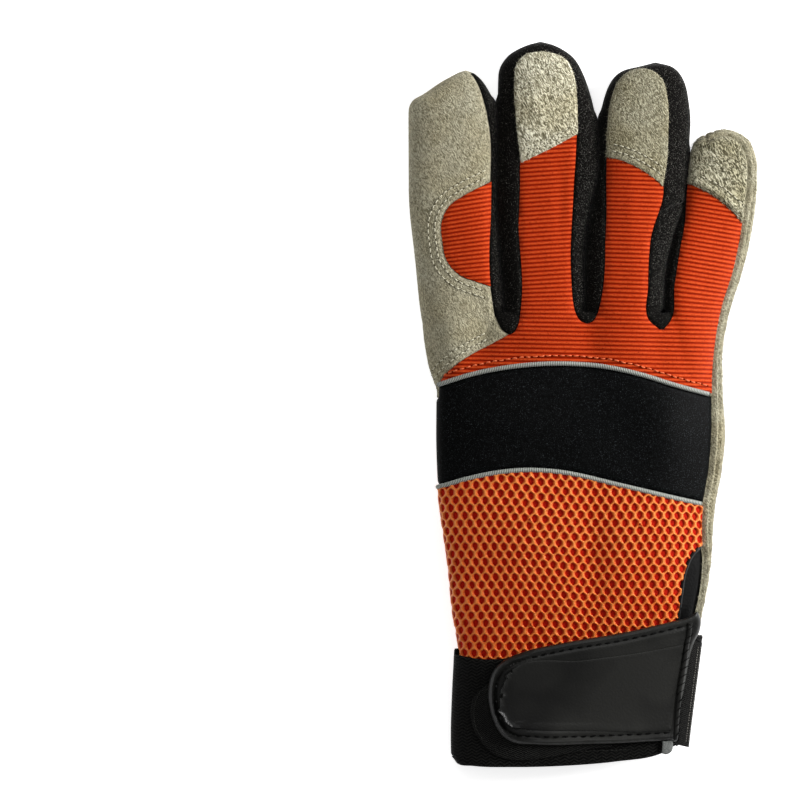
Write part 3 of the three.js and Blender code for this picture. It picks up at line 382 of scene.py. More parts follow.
# Rows at an even spacing along a tube
def denseRows(rows, step):
    table = np.array(rows, float)
    stops = np.arange(len(table))
    fine = np.linspace(0, stops[-1], 60 * len(table))
    columns = np.array([smoothAlong(stops, table[:, i], fine) for i in range(table.shape[1])])
    y, left, right = columns[:3]
    sideways = np.maximum(abs(np.diff(left)), abs(np.diff(right)))
    travelled = summed(np.hypot(np.diff(y), sideways))
    places = np.linspace(0, travelled[-1], max(4, int(travelled[-1] / step)))
    return np.array([np.interp(places, travelled, column) for column in columns]).T


# A finger's rows with their half depths, and one more that closes its tip
def fingerTable(rows):
    table = [list(row) for row in rows]
    widest = max(right - left for _, left, right in rows)
    for row in table:
        row.append(pattern["fingerDepth"] * ((row[2] - row[1]) / widest) ** 0.45)
    tip = table[-1]
    middle = (tip[1] + tip[2]) / 2
    return table + [[tip[0] + 0.12 * (tip[2] - tip[1]), middle - 0.4, middle + 0.4, 1.0]]


# Points of one flattened section. grow moves the wall outward.
def section(row, angles, middle, grow, relief):
    y, left, right, half = row[:4]
    radius = max(0.3, (right - left) / 2 + grow)
    x = (left + right) / 2 + radius * flattened(np.cos(angles))
    up = flattened(np.sin(angles))
    z = middle(x, np.full(x.shape, y)) + max(0.3, half + grow) * up
    if relief:
        z = z + swell(x, y) * np.clip(up, 0, 1)
    floor = max(0.0, -grow)  # the section turns softly flat here, where the glove rests
    z = floor + (z - floor + np.sqrt((z - floor) ** 2 + 0.04)) / 2
    return np.stack([x, np.full(x.shape, y), z], axis=1)


def inMetres(points):
    return (np.asarray(points, float) - (*pattern["middle"], 0)) * mm


def meshOf(name, points, faces):
    mesh = bpy.data.meshes.new(name)
    mesh.from_pydata(inMetres(points).tolist(), [], [list(map(int, face)) for face in faces])
    mesh.validate()
    return mesh


# A mesh's points in the pattern's millimetres
def toPattern(mesh):
    points = np.empty(len(mesh.vertices) * 3)
    mesh.vertices.foreach_get("co", points)
    return points.reshape(-1, 3) * 1000 + (*pattern["middle"], 0)


# The faces of a tube between rings of points
def ringFaces(rings, sides):
    faces = []
    for j in range(rings - 1):
        for k in range(sides):
            n = (k + 1) % sides
            faces.append((j * sides + k, (j + 1) * sides + k, (j + 1) * sides + n, j * sides + n))
    return faces


# A closed tube through rows of a table
def tube(rows, step, ratio, middle=drape, grow=0.0, relief=True):
    dense = denseRows(rows, step)
    girth = 2.25 * max(dense[:, 2] - dense[:, 1])
    sides = int(girth / step) // 2 * 2
    angles = evenAngles(sides, ratio)
    rings = [section(row, angles, middle, grow, relief) for row in dense]
    tipRun = 3.2  # over this last stretch a wall also grows past the tip
    for ring, row in zip(rings, dense):
        ring[:, 1] += grow * np.clip(1 - (dense[-1, 0] - row[0]) / tipRun, 0, 1)
    faces = ringFaces(len(rings), sides)
    last = (len(rings) - 1) * sides
    for s in range(sides // 2 - 1):
        strip = [s, s + 1, sides - 2 - s, sides - 1 - s]
        faces.append(strip)
        faces.append([last + i for i in strip[::-1]])
    return meshOf("tube", np.vstack(rings), faces)


# A closed upright prism on a plan outline, far taller than the glove
def prism(points):
    low, high = -20, 60
    plan = np.asarray(points, float)
    count = len(plan)
    turn = np.sum(plan[:, 0] * np.roll(plan[:, 1], -1) - plan[:, 1] * np.roll(plan[:, 0], -1))
    plan = plan if turn > 0 else plan[::-1]
    solid = [(x, y, low) for x, y in plan] + [(x, y, high) for x, y in plan]
    walls = [(i, (i + 1) % count, count + (i + 1) % count, count + i) for i in range(count)]
    return meshOf("prism", solid, [list(range(count))[::-1], list(range(count, 2 * count)), *walls])


# All that lies above or below a middle surface
def halfSpace(middle, isAbove):
    across, along = np.linspace(-80, 80, 41), np.linspace(-140, 140, 71)
    x, y = np.meshgrid(across, along)
    near = middle(x, y)
    layers = [near, np.full(near.shape, 70.0 if isAbove else -30.0)]
    points = np.vstack([np.stack([x, y, z], axis=2).reshape(-1, 3) for z in layers])
    columns, rows = len(across), len(along)
    size = columns * rows
    faces = []
    for j in range(rows - 1):
        for i in range(columns - 1):
            a = j * columns + i
            quad = (a, a + columns, a + columns + 1, a + 1)
            faces += [quad, [c + size for c in quad[::-1]]]
    rim = [(i, i + 1) for i in range(columns - 1)]
    rim += [(size - 1 - i, size - 2 - i) for i in range(columns - 1)]
    rim += [((j + 1) * columns, j * columns) for j in range(rows - 1)]
    rim += [(j * columns + columns - 1, (j + 2) * columns - 1) for j in range(rows - 1)]
    faces += [(a, b, b + size, a + size) for a, b in rim]
    if not isAbove:
        faces = [face[::-1] for face in faces]
    return meshOf("halfSpace", points, faces)


# Joins, cuts or keeps what two closed meshes share
def combine(first, second, operation):
    host = bpy.data.objects.new("host", first)
    tool = bpy.data.objects.new("tool", second)
    for each in (host, tool):
        bpy.context.scene.collection.objects.link(each)
    modifier = host.modifiers.new("combine", "BOOLEAN")
    modifier.solver = "MANIFOLD"
    modifier.operation = operation
    modifier.object = tool
    graph = bpy.context.evaluated_depsgraph_get()
    result = bpy.data.meshes.new_from_object(host.evaluated_get(graph))
    for each in (host, tool):
        bpy.data.objects.remove(each)
    return result


def joined(*meshes):
    total = meshes[0]
    for mesh in meshes[1:]:
        total = combine(total, mesh, "UNION")
    return total


def cut(mesh, *tools):
    for tool in tools:
        mesh = combine(mesh, tool, "DIFFERENCE")
    return mesh


def shared(mesh, *tools):
    for tool in tools:
        mesh = combine(mesh, tool, "INTERSECT")
    return mesh


fingerRows = (indexRows, middleRows, ringRows, littleRows)
fingerTables = [fingerTable(rows) for rows in fingerRows]


# A tube's rows with its first section run out to a y, so that a hollow opens there
def openedRows(rows, y):
    return [(y, *rows[0][1:]), *rows]


openHandRows = openedRows(handRows, pattern["openEnd"])


def handSkin(rows, grow, step):
    parts = [tube(rows, step, pattern["handRatio"], grow=grow)]
    parts += [tube(table, step, pattern["fingerRatio"], grow=grow) for table in fingerTables]
    return joined(*parts)


def thumbTube(rows, step, grow=0.0):
    return tube(rows, step, pattern["thumbRatio"], thumbMiddle, grow, False)


skin = handSkin(handRows, 0, pattern["skinStep"])
hollow = handSkin(openHandRows, -pattern["wall"], pattern["liningStep"])
print("skin", len(skin.polygons), "hollow", len(hollow.polygons))
thumbSkin = thumbTube(thumbRows, pattern["skinStep"])
thumbRoom = thumbTube(thumbRows, 2.4, 0.25)  # a little wider than the thumb
thumbHollow = thumbTube(openedRows(thumbRows, -90), 3.0, -pattern["wall"])
shell = cut(skin, hollow, thumbRoom)
thumbShell = cut(thumbSkin, thumbHollow, hollow)
above = halfSpace(drape, True)
below = halfSpace(lambda x, y: drape(x, y) + pattern["lap"], False)
print("shell", len(shell.polygons), "thumb", len(thumbShell.polygons))
far, reach, belowHand = pattern["far"], pattern["reach"], pattern["belowHand"]


# A mesh's faces for finding places on it, without slivers
def treeOf(mesh):
    faces = [list(face.vertices) for face in mesh.polygons if face.area > 2e-9]
    return BVHTree.FromPolygons(toPattern(mesh).tolist(), faces)


# Places and normals on a skin, straight above or below plan points
def onSkin(tree, plan, fromAbove=True):
    aim = Vector((0, 0, -1 if fromAbove else 1))
    places, normals = [], []
    for x, y in plan:
        spot, normal, _, _ = tree.ray_cast(Vector((x, y, 80 if fromAbove else -30)), aim)
        if spot is None:
            spot, normal, _, _ = tree.find_nearest(Vector((x, y, 12)))
        places.append(spot)
        normals.append(normal)
    return np.array(places), np.array(normals)


def between(low, high):
    return np.vstack([low, high[::-1]])


def shifted(line, dy):
    return np.asarray(line, float) + (0, dy)


# An open plan line moved sideways, to its left when the distance is positive
def beside(line, distance):
    way = np.gradient(np.asarray(line, float), axis=0)
    way /= np.maximum(np.hypot(*way.T), 1e-9)[:, None]
    return line + distance * np.stack([-way[:, 1], way[:, 0]], axis=1)


# A plan outline with every side moved outward
def grownPlan(points, distance):
    plan = np.asarray(points, float)
    before, after = plan - np.roll(plan, 1, axis=0), np.roll(plan, -1, axis=0) - plan
    kept = np.hypot(*after.T) > 1e-6
    plan, before, after = plan[kept], before[kept], after[kept]
    before, after = plan - np.roll(plan, 1, axis=0), np.roll(plan, -1, axis=0) - plan
    tangent = before / np.hypot(*before.T)[:, None] + after / np.hypot(*after.T)[:, None]
    tangent /= np.maximum(np.hypot(*tangent.T), 0.3)[:, None]
    following = np.roll(plan, -1, axis=0)
    turn = np.sign(np.sum(plan[:, 0] * following[:, 1] - plan[:, 1] * following[:, 0]))
    return plan + distance * turn * np.stack([tangent[:, 1], -tangent[:, 0]], axis=1)


# The space that a neighbour leaves free, with the open line between the two
def room(points):
    return prism(grownPlan(points, pattern["seam"]))


# Changes a mesh through an editable copy of it
def reworked(mesh, change):
    form = bmesh.new()
    form.from_mesh(mesh)
    change(form)
    form.to_mesh(mesh)
    form.free()
    return mesh


# The largest body of a cut panel, without the chips beside it
def largest(mesh):
    links = np.empty(len(mesh.edges) * 2, int)
    mesh.edges.foreach_get("vertices", links)
    links = links.reshape(-1, 2)
    label = np.arange(len(mesh.vertices))
    while True:
        low = np.minimum(label[links[:, 0]], label[links[:, 1]])
        fresh = label.copy()
        np.minimum.at(fresh, links[:, 0], low)
        np.minimum.at(fresh, links[:, 1], low)
        fresh = fresh[fresh]
        if np.array_equal(fresh, label):
            break
        label = fresh
    names, counts = np.unique(label, return_counts=True)
    best = names[np.argmax(counts)]

    def dropChips(form):
        chips = [v for v in form.verts if label[v.index] != best]
        bmesh.ops.delete(form, geom=chips, context="VERTS")

    return reworked(mesh, dropChips) if len(names) > 1 else mesh


# A vertex's place in the pattern's millimetres
def placeOf(vertex):
    return Vector((*(vertex.co.xy * 1000 + Vector(pattern["middle"])), vertex.co.z * 1000))


def nearTree(spots):
    near = KDTree(len(spots))
    for i, spot in enumerate(spots):
        near.insert(spot, i)
    near.balance()
    return near


# Moves a panel's outer points along its skin's normals, by their distance from given places.
# Edges there that are longer than finest are split first.
def reshape(form, tree, spots, width, profile, finest=0.7):
    near = nearTree(spots)
    besideSkin = 1.0  # farther off is the panel's inner side
    long = [
        edge for edge in form.edges
        if edge.calc_length() > mm * finest
        and near.find((placeOf(edge.verts[0]) + placeOf(edge.verts[1])) / 2)[2] < width + 0.4
        and all(tree.find_nearest(placeOf(v))[3] < besideSkin for v in edge.verts)
    ]
    bmesh.ops.subdivide_edges(form, edges=long, cuts=1)
    for vertex in form.verts:
        place = placeOf(vertex)
        distance = near.find(place)[2]
        if distance < width:
            _, normal, _, off = tree.find_nearest(place)
            if off < besideSkin:
                vertex.co += normal * (mm * profile(distance, place, off))
    bmesh.ops.triangulate(form, faces=[f for f in form.faces if len(f.verts) > 4])


# Turns the cut edges of a panel down into its seams, as a sewn edge lies. Flat seams are
# places along X where an edge near the fingertips stays level.
def rollBorder(mesh, tree, width=1.3, depth=0.8, flatSeams=()):
    onSurface = 0.03

    def turned(distance, place, off):
        return -depth * (1 - distance / width) ** 2 if off < onSurface else 0

    def turnDown(form):
        form.normal_update()
        outer = set()
        for face in form.faces:
            middle = sum((placeOf(v) for v in face.verts), Vector()) / len(face.verts)
            _, normal, _, distance = tree.find_nearest(middle)
            isThin = face.calc_area() < 4e-9
            if distance < onSurface and (isThin or face.normal.dot(normal) > 0.4):
                outer.add(face)
        border = [e for e in form.edges if sum(face in outer for face in e.link_faces) == 1]
        ends = [(placeOf(e.verts[0]), placeOf(e.verts[1])) for e in border]
        spots = [start.lerp(end, t) for start, end in ends for t in (0, 0.5)]
        if flatSeams:
            spots = [p for p in spots if p.y < 100 or all(abs(p.x - x) > 0.5 for x in flatSeams)]
        reshape(form, tree, spots, width, turned)

    return reworked(mesh, turnDown)


# Raises or sinks a panel along lines that lie on it
def emboss(mesh, tree, lines, width, profile, finest=0.7):
    spots = [Vector(p) for line in lines for p in line]
    return reworked(mesh, lambda form: reshape(form, tree, spots, width, profile, finest))


# Puts a finished piece in the scene; it stays sharp where faces meet at more than the angle
def addPiece(name, mesh, material, nodes=(), angle=42):
    mesh.name = name
    piece = bpy.data.objects.new(name, mesh)
    bpy.context.scene.collection.objects.link(piece)
    mesh.materials.clear()
    mesh.materials.append(material)
    mesh.shade_smooth()
    mesh.set_sharp_from_angle(angle=math.radians(angle))
    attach(piece, "root")
    if nodes:
        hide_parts(*nodes)
    return piece


# A closed body between two height fields over one grid
def slab(x, y, low, high):
    rows, columns = x.shape
    size = rows * columns
    points = np.vstack([np.stack([x, y, z], axis=2).reshape(-1, 3) for z in (low, high)])
    j, i = np.mgrid[0:rows - 1, 0:columns - 1]
    a = (j * columns + i).ravel()
    quads = np.stack([a, a + 1, a + columns + 1, a + columns], axis=1)
    rim = np.array([
        *range(columns), *range(2 * columns - 1, size, columns),
        *range(size - 2, size - columns - 1, -1), *range(size - 2 * columns, 0, -columns),
    ])
    after = np.roll(rim, -1)
    walls = np.stack([rim, after, after + size, rim + size], axis=1)
    return meshOf("slab", points, np.vstack([quads + size, quads[:, ::-1], walls]))


# Gives a mesh a value at each point, for its material
def setShade(mesh, name, values):
    layer = mesh.attributes.new(name, "FLOAT", "POINT")
    layer.data.foreach_set("value", np.asarray(values, np.float32))


def isInside(plan, x, y):
    inside = np.zeros(np.shape(x), bool)
    for (x0, y0), (x1, y1) in zip(plan, np.roll(plan, -1, axis=0)):
        crosses = (y0 > y) != (y1 > y)
        with np.errstate(divide="ignore", invalid="ignore"):
            inside ^= crosses & (x < (x1 - x0) * (y - y0) / (y1 - y0) + x0)
    return inside


# Distance of plan points from lines that are given as dense points
def awayFrom(lines, x, y):
    near = nearTree([(px, py, 0) for px, py in np.vstack(lines)])
    return np.array([near.find((px, py, 0))[2] for px, py in zip(np.ravel(x), np.ravel(y))])


# Plan outlines of the panels
hem = curveThrough(leatherHem)
leftSeams = [curveThrough(left) for left, _ in sideWallSeams]
rightSeams = [curveThrough(right) for _, right in sideWallSeams]
roll = curveThrough(rollSeam)
upperLine, lowerLine = curveThrough(pipingUpperLine), curveThrough(pipingLowerLine)
ovalPlan = curveThrough(indexOval)
capPlans = [curveThrough(cap, closed=True) for cap in (capMiddle, capRing, capLittle)]
sideWallPlans = [between(right, left) for left, right in zip(leftSeams, rightSeams)]
wrapPlan = np.vstack([hem, [(-far, -2), (-far, reach)], leftSeams[0][::-1]])
rollPlan = np.vstack([roll, [(far, roll[-1][1]), (far, -95)]])
wrapPalm = curveThrough(wrapPalmEdge)
wrapPalmPlan = np.vstack([wrapPalm, [(-far, -95), (-far, 6)]])
handPlan = np.array([(-far, palmCrotchY), (-far, belowHand), (far, belowHand), (far, palmCrotchY)])
pipingHalf = pattern["pipingHalf"]
bandPlan = between(shifted(lowerLine, pipingHalf), shifted(upperLine, -pipingHalf))
meshPlan = np.vstack([[(-far, belowHand), (far, belowHand)], shifted(lowerLine, -pipingHalf)[::-1]])
knitPlan = np.vstack([shifted(upperLine, pipingHalf), [(far, reach), (-far, reach)]])


# The palm leather's strip along a finger
def palmStrip(rows, share):
    root, along, end, beyond = share

    def place(row, part):
        return row[1] + (row[2] - row[1]) * part

    tip, nearTip = rows[-1], rows[-2]
    edges = []
    for i in (0, 1):
        first = (place(rows[1], root[i]), palmCrotchY - 1)
        inner = [
            (place(row, along[i]), row[0]) for row in rows
            if palmCrotchY + 8 < row[0] < tip[0] - 5.5
        ]
        last = (place(nearTip, end[i]), tip[0] + beyond)
        edges.append(curveThrough([first, *inner, last]))
    return between(edges[1], edges[0])


stripPlans = [palmStrip(rows, share) for rows, share in zip(fingerRows, palmShare)]


# The space of a panel that has one plan on the back and another on the palm
def wrapping(back, palm):
    return joined(shared(above, back), shared(below, palm))


skinTree = treeOf(skin)

# The palm's leather, which wraps round the index finger and rolls up over the little-finger side
leatherSpace = wrapping(
    cut(
        joined(prism(wrapPlan), prism(rollPlan)),
        room(ovalPlan), *[room(plan) for plan in sideWallPlans],
    ),
    cut(joined(prism(handPlan), *[prism(plan) for plan in stripPlans]), room(wrapPalmPlan)),
)
leather = rollBorder(largest(shared(shell, leatherSpace)), skinTree, 1.5, 0.75)
rollSpots, _ = onSkin(skinTree, roll[roll[:, 1] > -92])


# The raw seam edge up the little-finger side: two rough lips with a groove between them and a
# groove at the seam. Each is its distance from the seam, its half width and its height.
rawEdge = {
    "forms": ((1.7, 0.8, 0.55), (4.2, 0.9, 0.45), (2.95, 0.42, -0.8), (0.0, 0.9, -0.9)),
    "width": 6,
    "uneven": 0.35,
}


def rawLips(distance, place, off):
    wave = rawEdge["uneven"] * math.sin(place.y / 1.9)
    uneven = 1 + wave * math.sin(place.y / 3.1 + place.z / 1.3)
    return sum(hill(distance, *form) for form in rawEdge["forms"]) * uneven


emboss(leather, skinTree, [rollSpots], rawEdge["width"], rawLips, 0.6)

# Double rows round the index finger's oval and along the hem, up to the side wall
sewnLines = [
    beside(ovalPlan, -2.2), beside(ovalPlan, -4.5), beside(hem, -2.0), beside(hem, -4.2),
]
sewnLines = [line[line[:, 0] < -32.8] for line in sewnLines]
pucker = {"width": 0.9, "depth": 0.22}


# Stitches pull the leather down a little
def pulled(distance, place, off):
    return -pucker["depth"] * (1 - distance / pucker["width"]) ** 2


def pullDown(panel, tree, lines):
    emboss(panel, tree, [onSkin(tree, line)[0] for line in lines], pucker["width"], pulled)


pullDown(leather, skinTree, sewnLines)
print("palm leather", len(leather.polygons))


# Neighbouring fingers that are closer than the gap touch: the walls between them press together
touch = {"gap": 2.4, "overlap": 0.14, "width": 1.3, "fromY": 28}


def pressed(mesh, leftRows, rightRows):
    points = toPattern(mesh)
    left, right = np.array(leftRows, float), np.array(rightRows, float)
    y = points[:, 1]
    near = smoothAlong(left[:, 0], left[:, 2], y)
    gap = smoothAlong(right[:, 0], right[:, 1], y) - near
    off = points[:, 0] - (near + gap / 2)
    tip = min(left[-1, 0], right[-1, 0]) - 3
    share = np.clip((y - touch["fromY"]) / 5, 0, 1) * np.clip((tip - y) / 4, 0, 1)
    share = share * np.clip(touch["gap"] - gap, 0, 1)
    push = np.sign(off) * (gap / 2 + touch["overlap"]) * share
    points[:, 0] -= push * np.exp(-((off / touch["width"]) ** 4))
    mesh.vertices.foreach_set("co", inMetres(points).ravel())
    mesh.update()
    return mesh


sideWalls = []
for i in range(3):
    zone = [(palmZoneEdges[i], palmCrotchY), (palmZoneEdges[i + 1], palmCrotchY),
            (palmZoneEdges[i + 1], reach), (palmZoneEdges[i], reach)]
    wallSpace = wrapping(
        cut(prism(sideWallPlans[i]), room(rollPlan)),
        cut(prism(grownPlan(zone, -0.06)), room(stripPlans[i]), room(stripPlans[i + 1])),
    )
    wall = rollBorder(largest(shared(shell, wallSpace)), skinTree, 1.4, 0.8, palmZoneEdges[1:3])
    sideWalls.append(pressed(wall, fingerRows[i], fingerRows[i + 1]))


# The ring finger's wall laps over itself half way down: a lip with a crease below it
wallLap = {"start": (26.5, 66.6), "slope": 0.42, "width": 3.2, "height": 1.1}


def lapped(distance, place, off):
    startX, startY = wallLap["start"]
    side = (place.y - startY) - wallLap["slope"] * (place.x - startX)
    lip = hill(side, 0.9, 0.9, wallLap["height"])
    crease = hill(side, -0.5, 0.6, wallLap["height"])
    return (lip - crease) * (1 - distance / wallLap["width"])


lapLine = curveThrough([(27.4, 67.0), (30.6, 69.0), (33.4, 69.8)])
emboss(sideWalls[2], skinTree, [onSkin(skinTree, lapLine)[0]], wallLap["width"], lapped)
print("side walls", [len(mesh.polygons) for mesh in sideWalls])

capGrow = 0.7  # the caps stand this far above the other panels
capSkins = joined(*[
    tube(table, 0.9, pattern["fingerRatio"], grow=capGrow) for table in fingerTables[1:]
])
capTree = treeOf(capSkins)
capShell = cut(capSkins, hollow)
caps = [largest(shared(capShell, prism(plan), above)) for plan in capPlans]
caps[2] = largest(cut(caps[2], room(rollPlan)))
for cap in caps:
    rollBorder(cap, capTree, 0.9, 0.35)
capEdges = [
    curveThrough(edge) for edge in (
        [(-20.6, 84.0), (-11.6, 88.2), (-2.7, 93.0)],
        [(9.0, 85.4), (13.0, 84.4), (18.4, 82.0), (23.6, 78.8), (26.6, 76.2)],
        [(38.6, 75.2), (45.2, 71.9), (50.8, 67.3), (54.6, 63.4)],
    )
]
capInsets = ((1.5, 3.2), (2.4, 4.7), (4.2,))
capRows = [[beside(edge, inset) for inset in insets] for edge, insets in zip(capEdges, capInsets)]
for cap, lines in zip(caps, capRows):
    pullDown(cap, capTree, lines)


# The little finger's cap ends in a thick loose lip
capLip = {"inset": 1.5, "width": 1.7, "height": 0.8}


def thickened(distance, place, off):
    return capLip["height"] * (1 - distance / capLip["width"])


lipLine = beside(capEdges[2], capLip["inset"])
emboss(caps[2], capTree, [onSkin(capTree, lipLine)[0]], capLip["width"], thickened)
print("caps", [len(mesh.polygons) for mesh in caps])

wristSpace = cut(wrapping(prism(handPlan), prism(wrapPalmPlan)), room(rollPlan), room(wrapPlan))
bandSpace = shared(wristSpace, prism(bandPlan))
band = rollBorder(largest(shared(shell, bandSpace)), skinTree, 1.6, 0.7)
print("band", len(band.polygons))


# sRGB hex to linear colour
def colour(code):
    parts = [int(code[i:i + 2], 16) / 255 for i in (1, 3, 5)]
    return (*[c / 12.92 if c <= 0.04045 else ((c + 0.055) / 1.055) ** 2.4 for c in parts], 1)


def newMaterial(name):
    material = bpy.data.materials.new(name)
    material.use_nodes = True
    material.node_tree.nodes.clear()
    return material


# Adds a node with its settings. An input that is another node, or one of its sockets, is linked.
# Textures keep a scale of 1, so their coordinates alone size them, and stops are a ramp's colours.
def addNode(material, kind, inputs=None, stops=(), **settings):
    node = material.node_tree.nodes.new("ShaderNode" + kind)
    for key, value in settings.items():
        setattr(node, key, value)
    if kind in ("TexNoise", "TexVoronoi"):
        node.inputs["Scale"].default_value = 1.0
    for key, value in (inputs or {}).items():
        if isinstance(value, bpy.types.Node):
            value = value.outputs[0]
        if isinstance(value, bpy.types.NodeSocket):
            material.node_tree.links.new(value, node.inputs[key])
        else:
            node.inputs[key].default_value = value
    if stops:
        elements = node.color_ramp.elements
        elements[0].position, elements[1].position = stops[0][0], stops[-1][0]
        for place, _ in stops[1:-1]:
            elements.new(place)
        for element, (_, code) in zip(elements, stops):
            element.color = colour(code)
    return node


def finishMaterial(material, inputs):
    shader = addNode(material, "BsdfPrincipled", inputs)
    addNode(material, "OutputMaterial", {"Surface": shader})
    return material


# Object coordinates, turned and then stretched so that one unit is the given size in millimetres
def coordinates(material, sizes, turn=0.0):
    return addNode(material, "Mapping", {
        "Vector": addNode(material, "TexCoord").outputs["Object"],
        "Rotation": (0, 0, turn),
        "Scale": tuple(size / 1000 for size in sizes),
    }, vector_type="TEXTURE")


# Split cowhide with a raised nap: matt, its fibres combed into slanting tufts about 1.3 mm long
# and 0.5 mm apart, with darker pits between them
def splitSuede(name, tones, patch, tuft=(0.5, 1.3), lean=0.55):
    material = newMaterial(name)
    bend = addNode(material, "TexNoise", {
        "Vector": coordinates(material, (7, 7, 7)), "Detail": 1.0,
    }).outputs["Color"]
    bent = addNode(material, "VectorMath", {
        0: bend, 1: (3.6, 3.6, 3.6), 2: coordinates(material, (tuft[0], tuft[1], tuft[0]), lean),
    }, operation="MULTIPLY_ADD")
    nap = addNode(material, "TexNoise", {
        "Vector": bent, "Detail": 1.2, "Roughness": 0.5, "Distortion": 0.9,
    })
    fibre = addNode(material, "TexNoise", {
        "Vector": coordinates(material, (0.2, 0.8, 0.2), lean), "Detail": 1.0,
    })
    cloud = addNode(material, "TexNoise", {
        "Vector": coordinates(material, (14, 14, 14)), "Detail": 2.0,
    })
    mixed = addNode(material, "Math", {0: fibre, 1: 0.22, 2: nap}, operation="MULTIPLY_ADD")
    tone = addNode(material, "ValToRGB", {"Fac": mixed}, list(zip((0.45, 0.6, 0.76), tones)))
    stain = addNode(material, "ValToRGB", {"Fac": cloud}, [(0.35, patch), (0.62, "#ffffff")])
    base = addNode(material, "Mix", {
        "Factor": 1.0, "A": tone.outputs[0], "B": stain.outputs[0],
    }, data_type="RGBA", blend_type="MULTIPLY").outputs["Result"]
    bump = addNode(material, "Bump", {"Strength": 1.0, "Distance": 0.0005, "Height": mixed})
    return finishMaterial(material, {
        "Base Color": base, "Roughness": 0.95, "Specular IOR Level": 0.1,
        "Sheen Weight": 0.12, "Sheen Roughness": 0.6, "Normal": bump,
    })


# Polyester cross-rib cloth, orange on the crests and deep red in the grooves: painted shade
def ribKnit(name):
    material = newMaterial(name)
    ridgeShade = addNode(material, "Attribute", attribute_name="ridgeShade").outputs["Fac"]
    yarn = addNode(material, "TexNoise", {
        "Vector": coordinates(material, (1.3, 0.3, 1.3)), "Detail": 4.0, "Roughness": 0.7,
    })
    fleck = addNode(material, "TexNoise", {
        "Vector": coordinates(material, (0.45, 0.45, 0.45)), "Detail": 2.0,
    })
    height = addNode(material, "Math", {0: ridgeShade, 1: 0.65}, operation="MULTIPLY")
    mixed = addNode(material, "Math", {0: yarn, 1: 0.35, 2: height}, operation="MULTIPLY_ADD")
    # Deep red where the ridge shade is low: painted shade in the grooves
    tone = addNode(material, "ValToRGB", {"Fac": mixed}, [
        (0.2, "#720c00"), (0.42, "#992104"), (0.66, "#b0320c"), (0.92, "#d95a2a"),
    ])
    spots = addNode(material, "ValToRGB", {"Fac": fleck}, [(0.3, "#c9a294"), (0.45, "#ffffff")])
    base = addNode(material, "Mix", {
        "Factor": 1.0, "A": tone.outputs[0], "B": spots.outputs[0],
    }, data_type="RGBA", blend_type="MULTIPLY").outputs["Result"]
    bump = addNode(material, "Bump", {"Strength": 0.7, "Distance": 0.0003, "Height": yarn})
    return finishMaterial(material, {
        "Base Color": base, "Roughness": 0.55, "Specular IOR Level": 0.22,
        "Specular Tint": colour("#ffa060"), "Sheen Weight": 0.02, "Normal": bump,
    })


# Knitted spacer mesh of shiny polyester: painted shade down into the holes, painted highlight on
# crests
def spacerMesh(name):
    material = newMaterial(name)
    lift = addNode(material, "Attribute", attribute_name="lift").outputs["Fac"]
    yarn = addNode(material, "TexNoise", {
        "Vector": coordinates(material, (0.9, 0.28, 0.9), 0.5), "Detail": 4.0, "Roughness": 0.7,
        "Distortion": 0.5,
    })
    height = addNode(material, "Math", {0: lift, 1: 0.65}, operation="MULTIPLY")
    mixed = addNode(material, "Math", {0: yarn, 1: 0.35, 2: height}, operation="MULTIPLY_ADD")
    # Dark red low down and cream on top: painted shade and painted highlight
    tone = addNode(material, "ValToRGB", {"Fac": mixed}, [
        (0.2, "#9a0f04"), (0.42, "#bf3710"), (0.72, "#d25c1e"), (0.97, "#fcb060"),
    ])
    bump = addNode(material, "Bump", {"Strength": 0.8, "Distance": 0.0003, "Height": yarn})
    return finishMaterial(material, {
        "Base Color": tone, "Roughness": 0.32, "Specular IOR Level": 0.8,
        "Specular Tint": colour("#ffd890"), "Normal": bump,
    })


# Plain knitted or woven cloth: a thread-sized grain of two or three tones, with brushed hair
# where asked
def cloth(name, tones, thread, roughness, sheen=0.02, gloss=0.1, relief=0.0002):
    material = newMaterial(name)
    grain = addNode(material, "TexNoise", {
        "Vector": coordinates(material, (thread,) * 3), "Detail": 3.0, "Roughness": 0.65,
    })
    tone = addNode(material, "ValToRGB", {"Fac": grain}, [
        (0.35, tones[0]), (0.58, tones[1]), (0.72, tones[-1]),
    ])
    bump = addNode(material, "Bump", {"Strength": 0.7, "Distance": relief, "Height": grain})
    return finishMaterial(material, {
        "Base Color": tone, "Roughness": roughness, "Specular IOR Level": gloss,
        "Sheen Weight": sheen, "Sheen Roughness": 0.4, "Normal": bump,
    })


# Woven elastic or tape: rows of zigzag ribs in black thread with a dull shine. The elastic's rows
# are 1.1 mm apart, and each leg of a zigzag goes 1.6 mm across.
def wovenElastic(name, dark, light, row=1.1, leg=1.6):
    material = newMaterial(name)
    place = addNode(material, "SeparateXYZ", {
        "Vector": coordinates(material, (leg, row, 1.0)),
    })
    wave = addNode(material, "Math", {0: place.outputs["X"], 1: 1.0}, operation="PINGPONG")
    slope = addNode(material, "Math", {
        0: wave, 1: 0.9, 2: place.outputs["Y"],
    }, operation="MULTIPLY_ADD")
    turned = addNode(material, "Math", {0: slope, 1: 2 * math.pi}, operation="MULTIPLY")
    ribs = addNode(material, "Math", {0: turned}, operation="SINE")
    fine = addNode(material, "TexNoise", {
        "Vector": coordinates(material, (0.35, 0.2, 0.35)), "Detail": 2.0,
    })
    mixed = addNode(material, "Math", {0: ribs, 1: 0.2, 2: fine}, operation="MULTIPLY_ADD")
    tone = addNode(material, "ValToRGB", {"Fac": mixed}, [(0.48, dark), (0.7, light)])
    bump = addNode(material, "Bump", {"Strength": 0.8, "Distance": 0.00035, "Height": mixed})
    return finishMaterial(material, {
        "Base Color": tone, "Roughness": 0.5, "Specular IOR Level": 0.05, "Normal": bump,
    })
